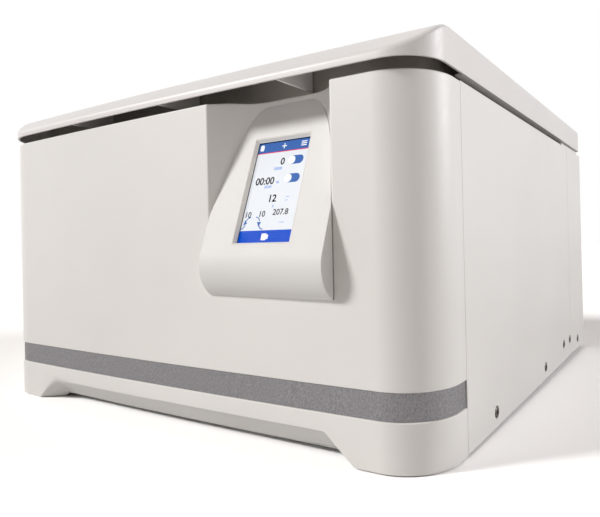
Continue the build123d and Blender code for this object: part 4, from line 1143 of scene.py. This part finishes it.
# Marks are in millimetres: across from the middle of the glass, and up the slanted face from the pod's
# flush line. Blocks are (left, right, low, high, corner), words (text, size, across, up, boldness) and
# arcs (across, up, start angle, end angle).
screen = {
    "halfWidth": 38.5,
    "halfHeight": 62.0,
    "thickness": 8.8,
    "behindGlass": 1.6,
    "film": 0.1,
    "header": (-38.5, 38.5, 72.4, 84.4, 0),
    "footer": (-38.5, 38.5, -37.0, -21.4, 0),
    "rule": (-38.5, 38.5, 71.4, 72.4, 0),
    "whiteMarks": [
        (-34.2, -29.6, 75.2, 82.0, 1.0),
        (-3.2, 3.2, 78.0, 79.1, 0),
        (-0.55, 0.55, 75.4, 81.7, 0),
        (23.8, 31.2, 76.0, 77.1, 0),
        (23.8, 31.2, 78.3, 79.4, 0),
        (23.8, 31.2, 80.6, 81.7, 0),
        (-5.2, 1.8, -32.6, -25.0, 0.9),
        (2.2, 4.2, -31.4, -26.4, 0.6),
    ],
    "switchRows": (59.8, 37.9),
    "switch": (11.0, 30.6, 5.2, 5.0),  # left, right, half its height, corner
    "knob": (9.8, 19.6, 4.9, 4.7),
    "paleWords": [
        ("10000", 5.0, -3.0, 49.3, 0.08),
        ("00:00", 4.6, -11.4, 28.0, 0.06),
        ("00", 4.0, 1.2, 33.0, 0.08),
        ("0", 4.4, 2.0, 4.6, 0.04),
    ],
    "paleMarks": [
        (17.8, 21.8, 15.6, 16.2, 0),
        (17.0, 21.0, 11.8, 12.4, 0),
        (15.0, 22.2, -13.2, -12.6, 0),
    ],
    "dashes": {"count": 16, "first": -20.6, "pitch": 5.7, "length": 4.2, "left": 35.2, "right": 35.7},
    "arcRadius": 6.4,
    "arcWidth": 1.1,
    "leftArcs": [(-38.5, -13.2, -88, -10), (-26.0, -12.4, 90, 165)],
    "leftArrow": [(-33.4, -9.2), (-35.0, -15.0), (-30.0, -12.6)],
    "rightArcs": [(-18.6, -12.2, 15, 90), (-5.8, -13.6, 190, 270)],
    "rightArrow": [(-15.6, -11.6), (-9.8, -11.6), (-12.6, -17.0)],
    "digits": [
        ("0", 11.8, 2.1, 55.4, 0.25),
        ("00:00", 12.2, -17.6, 32.7, 0.22),
        ("12", 11.8, -1.4, 11.4, 0.28),
        ("10", 9.6, -31.2, -5.9, 0.10),
        ("10", 9.6, -11.4, -5.6, 0.10),
        ("207.8", 9.6, 14.3, -4.2, 0.10),
    ],
    "topEdge": (-38.5, 38.5, 84.4, 86.0, 0),
    "leftEdge": (-38.5, -37.4, -37.0, 86.0, 0),
}


def upGlass(up):
    return up * mm - pod["screenUp"]


def flatBlock(mark, lift, height=screen["film"] * mm):
    left, right, low, high, corner = mark
    piece = block("shape", (left * mm, upGlass(low), lift), (right * mm, upGlass(high), lift + height))
    if corner:
        selectEdges(piece, lambda a, b: abs(a.z - b.z) > height / 2)
        bpy.ops.mesh.bevel(offset=corner * mm, segments=6, affect="EDGES")
        done()
    return piece


def flatShape(points, lift):
    piece = startChain("shape", [(across * mm, upGlass(up), lift) for across, up in points])
    return fillAndExtrude(piece, (0, 0, screen["film"] * mm))


def arcStroke(across, up, start, end, lift, steps=14):
    outer, inner = [], []
    near, far = (screen["arcRadius"] + hand * screen["arcWidth"] / 2 for hand in (-1, 1))
    for step in range(steps + 1):
        angle = math.radians(start + (end - start) * step / steps)
        outer.append((across + far * math.cos(angle), up + far * math.sin(angle)))
        inner.append((across + near * math.cos(angle), up + near * math.sin(angle)))
    return flatShape(outer + inner[::-1], lift)


def wording(word, lift):
    text, size, across, up, boldness = word
    deselectAll()
    bpy.ops.object.text_add(location=(across * mm, upGlass(up), lift))
    letters = bpy.context.object.data
    letters.body = text
    letters.size = size * mm
    letters.align_x = "CENTER"
    letters.extrude = screen["film"] * mm / 2
    letters.offset = boldness * mm
    letters.resolution_u = 3
    bpy.ops.object.convert(target="MESH")
    return bpy.context.object


def keepPrint(name, material, marks, *replaced):
    piece = onScreen(join(*marks))
    piece.name = name
    keep(piece, "body", "display_panel", material, *replaced)


def makeScreen():
    s = screen
    lift = -pod["depth"] - s["behindGlass"] * mm
    over = lift + s["film"] * mm
    halfWidth, halfHeight, thickness = (
        s[size] * mm for size in ("halfWidth", "halfHeight", "thickness")
    )
    panel = block(
        "panel", (-halfWidth, -halfHeight, lift - thickness), (halfWidth, halfHeight, lift)
    )
    keepPrint("screenPanel", "screenBody", [panel], "display_module")
    keepPrint("screenHeader", "screenBlue", [flatBlock(s["header"], lift)])
    keepPrint("screenFooter", "screenBright", [flatBlock(s["footer"], lift)])
    keepPrint("screenRule", "screenRed", [flatBlock(s["rule"], lift)])

    white = [flatBlock(mark, over) for mark in s["whiteMarks"]]
    left, right, half, corner = s["knob"]
    for row in s["switchRows"]:
        white.append(flatBlock((left, right, row - half, row + half, corner), over + s["film"] * mm))
    keepPrint("screenMarks", "screenWhite", white)

    pale = [wording(word, over) for word in s["paleWords"]]
    pale += [flatBlock(mark, over) for mark in s["paleMarks"]]
    dashes = s["dashes"]
    for step in range(dashes["count"]):  # the broken line down the right edge
        low = dashes["first"] + step * dashes["pitch"]
        mark = (dashes["left"], dashes["right"], low, low + dashes["length"], 0)
        pale.append(flatBlock(mark, over))
    keepPrint("screenNotes", "screenPale", pale)

    left, right, half, corner = s["switch"]
    blue = [flatBlock((left, right, row - half, row + half, corner), over) for row in s["switchRows"]]
    for hand in ("left", "right"):
        blue += [arcStroke(*arc, over) for arc in s[hand + "Arcs"]]
        blue.append(flatShape(s[hand + "Arrow"], over))
    keepPrint("screenSwitches", "screenBlue", blue)

    ink = [wording(word, over) for word in s["digits"]]
    ink += [flatBlock(s["topEdge"], lift), flatBlock(s["leftEdge"], over)]
    keepPrint("screenDigits", "screenInk", ink)


makeScreen()
print("screen made")

lid = {
    "halfWidth": 0.3691,
    "apexY": -0.3729,
    "leftCorner": 0.080,
    "rightCorner": 0.050,
    "leftSteps": 45,
    "rightSteps": 32,
    "rearY": 0.3520,
    "rearCorner": 0.012,
    "bottom": 0.3874,
    "top": 0.4258,
    "slopeDepth": 0.0440,
    "slopeHeight": 0.0302,
    "wall": 0.0025,
    "roof": 0.0030,
    "crest": 0.0160,  # the slope runs into the roof over this much to each side
    "crestSteps": 6,
    "softness": 0.0040,
    "ledge": 0.0085,
    "ledgeFront": -0.2700,
    "ledgeInset": 0.0012,
    "ribs": (-0.170, 0.014, 0.198),
    "ribBack": -0.3045,
    "ribHalf": 0.0015,
    "ribDrop": 0.0020,
    "ribLift": 0.0010,
    "viewport": {"x": 0.105, "y": 0.008, "radius": 0.028},
}


def lidOutline(name, inset, bottom, top):
    s = lid
    half, apex = s["halfWidth"] - inset, s["apexY"] + inset
    left, right = s["leftCorner"] - inset, s["rightCorner"] - inset
    rear, rearRound = s["rearY"] - inset, s["rearCorner"] - inset
    leftY, leftLean = cornerFacts(half, apex, left)
    _, rightLean = cornerFacts(half, apex, right)
    pen = penAt(-half, rear - rearRound, math.radians(-90))
    piece = startWall(name, pen, [(0, bottom), (0, top)])
    go(pen, pen["y"] - leftY, 4)
    bend(pen, left, 90 - leftLean, s["leftSteps"])
    alongFront(pen, 0.0, 16)
    alongFront(pen, bowEnd(rightLean), 16)
    bend(pen, right, 90 - rightLean, s["rightSteps"])
    go(pen, rear - rearRound - pen["y"], 4)
    bend(pen, rearRound, 90, 8)
    go(pen, 2 * (half - rearRound), 4)
    bend(pen, rearRound, 90, 8)
    done()
    weld(piece)
    for z in (bottom, top):
        selectEdges(piece, lambda a, b: abs(a.z - z) < 0.00001 and abs(b.z - z) < 0.00001)
        bpy.ops.mesh.edge_face_add()
    done()
    outward(piece)
    return piece


def slopeWedge(inset):
    s = lid
    grade = s["slopeHeight"] / s["slopeDepth"]
    lean = math.atan(grade)
    low = s["top"] - s["slopeHeight"]
    radius = s["crest"] / math.tan(lean / 2)
    middle = Vector((inset + s["slopeDepth"] + s["crest"], s["top"] - radius))
    clear = 0.02  # how far the wedge stands out past the lid
    section = [(inset - clear, low - clear * grade)]
    for step in range(s["crestSteps"] + 1):
        angle = lean * (1 - step / s["crestSteps"])
        section.append(tuple(middle + Vector((-math.sin(angle), math.cos(angle))) * radius))
    section += [(middle.x + 0.002, s["top"] + 0.0002), (middle.x + 0.01, s["top"] + clear)]
    section += [(inset - clear, s["top"] + clear), section[0]]
    _, leftLean = cornerFacts(s["halfWidth"], s["apexY"], s["leftCorner"])
    _, rightLean = cornerFacts(s["halfWidth"], s["apexY"], s["rightCorner"])
    run = 0.11  # straight past the corners, so no facet crosses them
    start, heading = -bowEnd(leftLean), math.radians(-leftLean)
    pen = penAt(
        start - run * math.cos(heading), bowY(start, s["apexY"]) - run * math.sin(heading), heading
    )
    piece = startWall("slopeWedge", pen, section)
    go(pen, run)
    alongFront(pen, 0.0, 16)
    alongFront(pen, bowEnd(rightLean), 16)
    go(pen, run)
    done()
    weld(piece)
    for hand in (-1, 1):
        selectVerts(piece, lambda co: co.x * hand > s["halfWidth"] + clear)
        bpy.ops.mesh.edge_face_add()
    done()
    outward(piece)
    return piece


def addLedge(piece, hand):
    s = lid
    inner = hand * (s["halfWidth"] - s["wall"] - s["ledge"])
    outer = hand * (s["halfWidth"] - s["ledgeInset"])
    low = (min(inner, outer), s["ledgeFront"], s["bottom"])
    high = (max(inner, outer), s["rearY"] - s["rearCorner"], s["bottom"] + s["wall"])
    ledge = block("ledge", low, high)
    softEdges(ledge, 0.0004, 2, 50)
    cut(piece, ledge, "UNION")


def addRib(piece, x):
    s = lid
    bite = 0.0006  # how far the rib runs into the shell
    front, back = bowY(x, s["apexY"]) + s["wall"] - bite, s["ribBack"]
    low, ceiling = s["bottom"] + s["ribLift"], s["top"] - s["roof"] + bite
    crease = s["top"] - s["slopeHeight"] - s["ribDrop"]
    outline = [
        (front, low),
        (back, low),
        (back, ceiling),
        (front + s["slopeDepth"] + 0.001, ceiling),
        (front, crease),
    ]
    rib = startChain("lidRib", [(x - s["ribHalf"], y, z) for y, z in outline])
    fillAndExtrude(rib, (2 * s["ribHalf"], 0, 0))
    softEdges(rib, 0.0003, 2, 50)
    cut(piece, rib, "UNION")


def makeLid():
    s = lid
    bottom, top = s["bottom"], s["top"]
    piece = lidOutline("lidShell", 0.0, bottom - 0.02, top)
    cut(piece, slopeWedge(0.0))
    weld(piece)
    softEdges(piece, s["softness"], 4, 24, clamp=False)
    cut(piece, block("below", (-0.5, -0.5, bottom - 0.05), (0.5, 0.5, bottom)))
    inside = lidOutline("lidInside", s["wall"], bottom - 0.01, top - s["roof"])
    lean = math.atan2(s["slopeHeight"], s["slopeDepth"])
    cut(inside, slopeWedge(s["roof"] / math.sin(lean)))
    cut(piece, inside)
    hole = s["viewport"]
    x, y = hole["x"], hole["y"]
    cut(piece, rod("hole", (x, y, top - 0.02), (x, y, top + 0.02), hole["radius"], 64))
    for hand in (-1, 1):
        addLedge(piece, hand)
    for x in s["ribs"]:
        addRib(piece, x)
    smooth(piece, 30)
    keep(piece, "lid", "lid_paint", "lidPaint", "lid_shell")


makeLid()
print("lid made")

makeCamera()
makeLight()
makeFloor()
bpy.context.scene.view_settings.view_transform = "Standard"
print("camera, light and floor made")
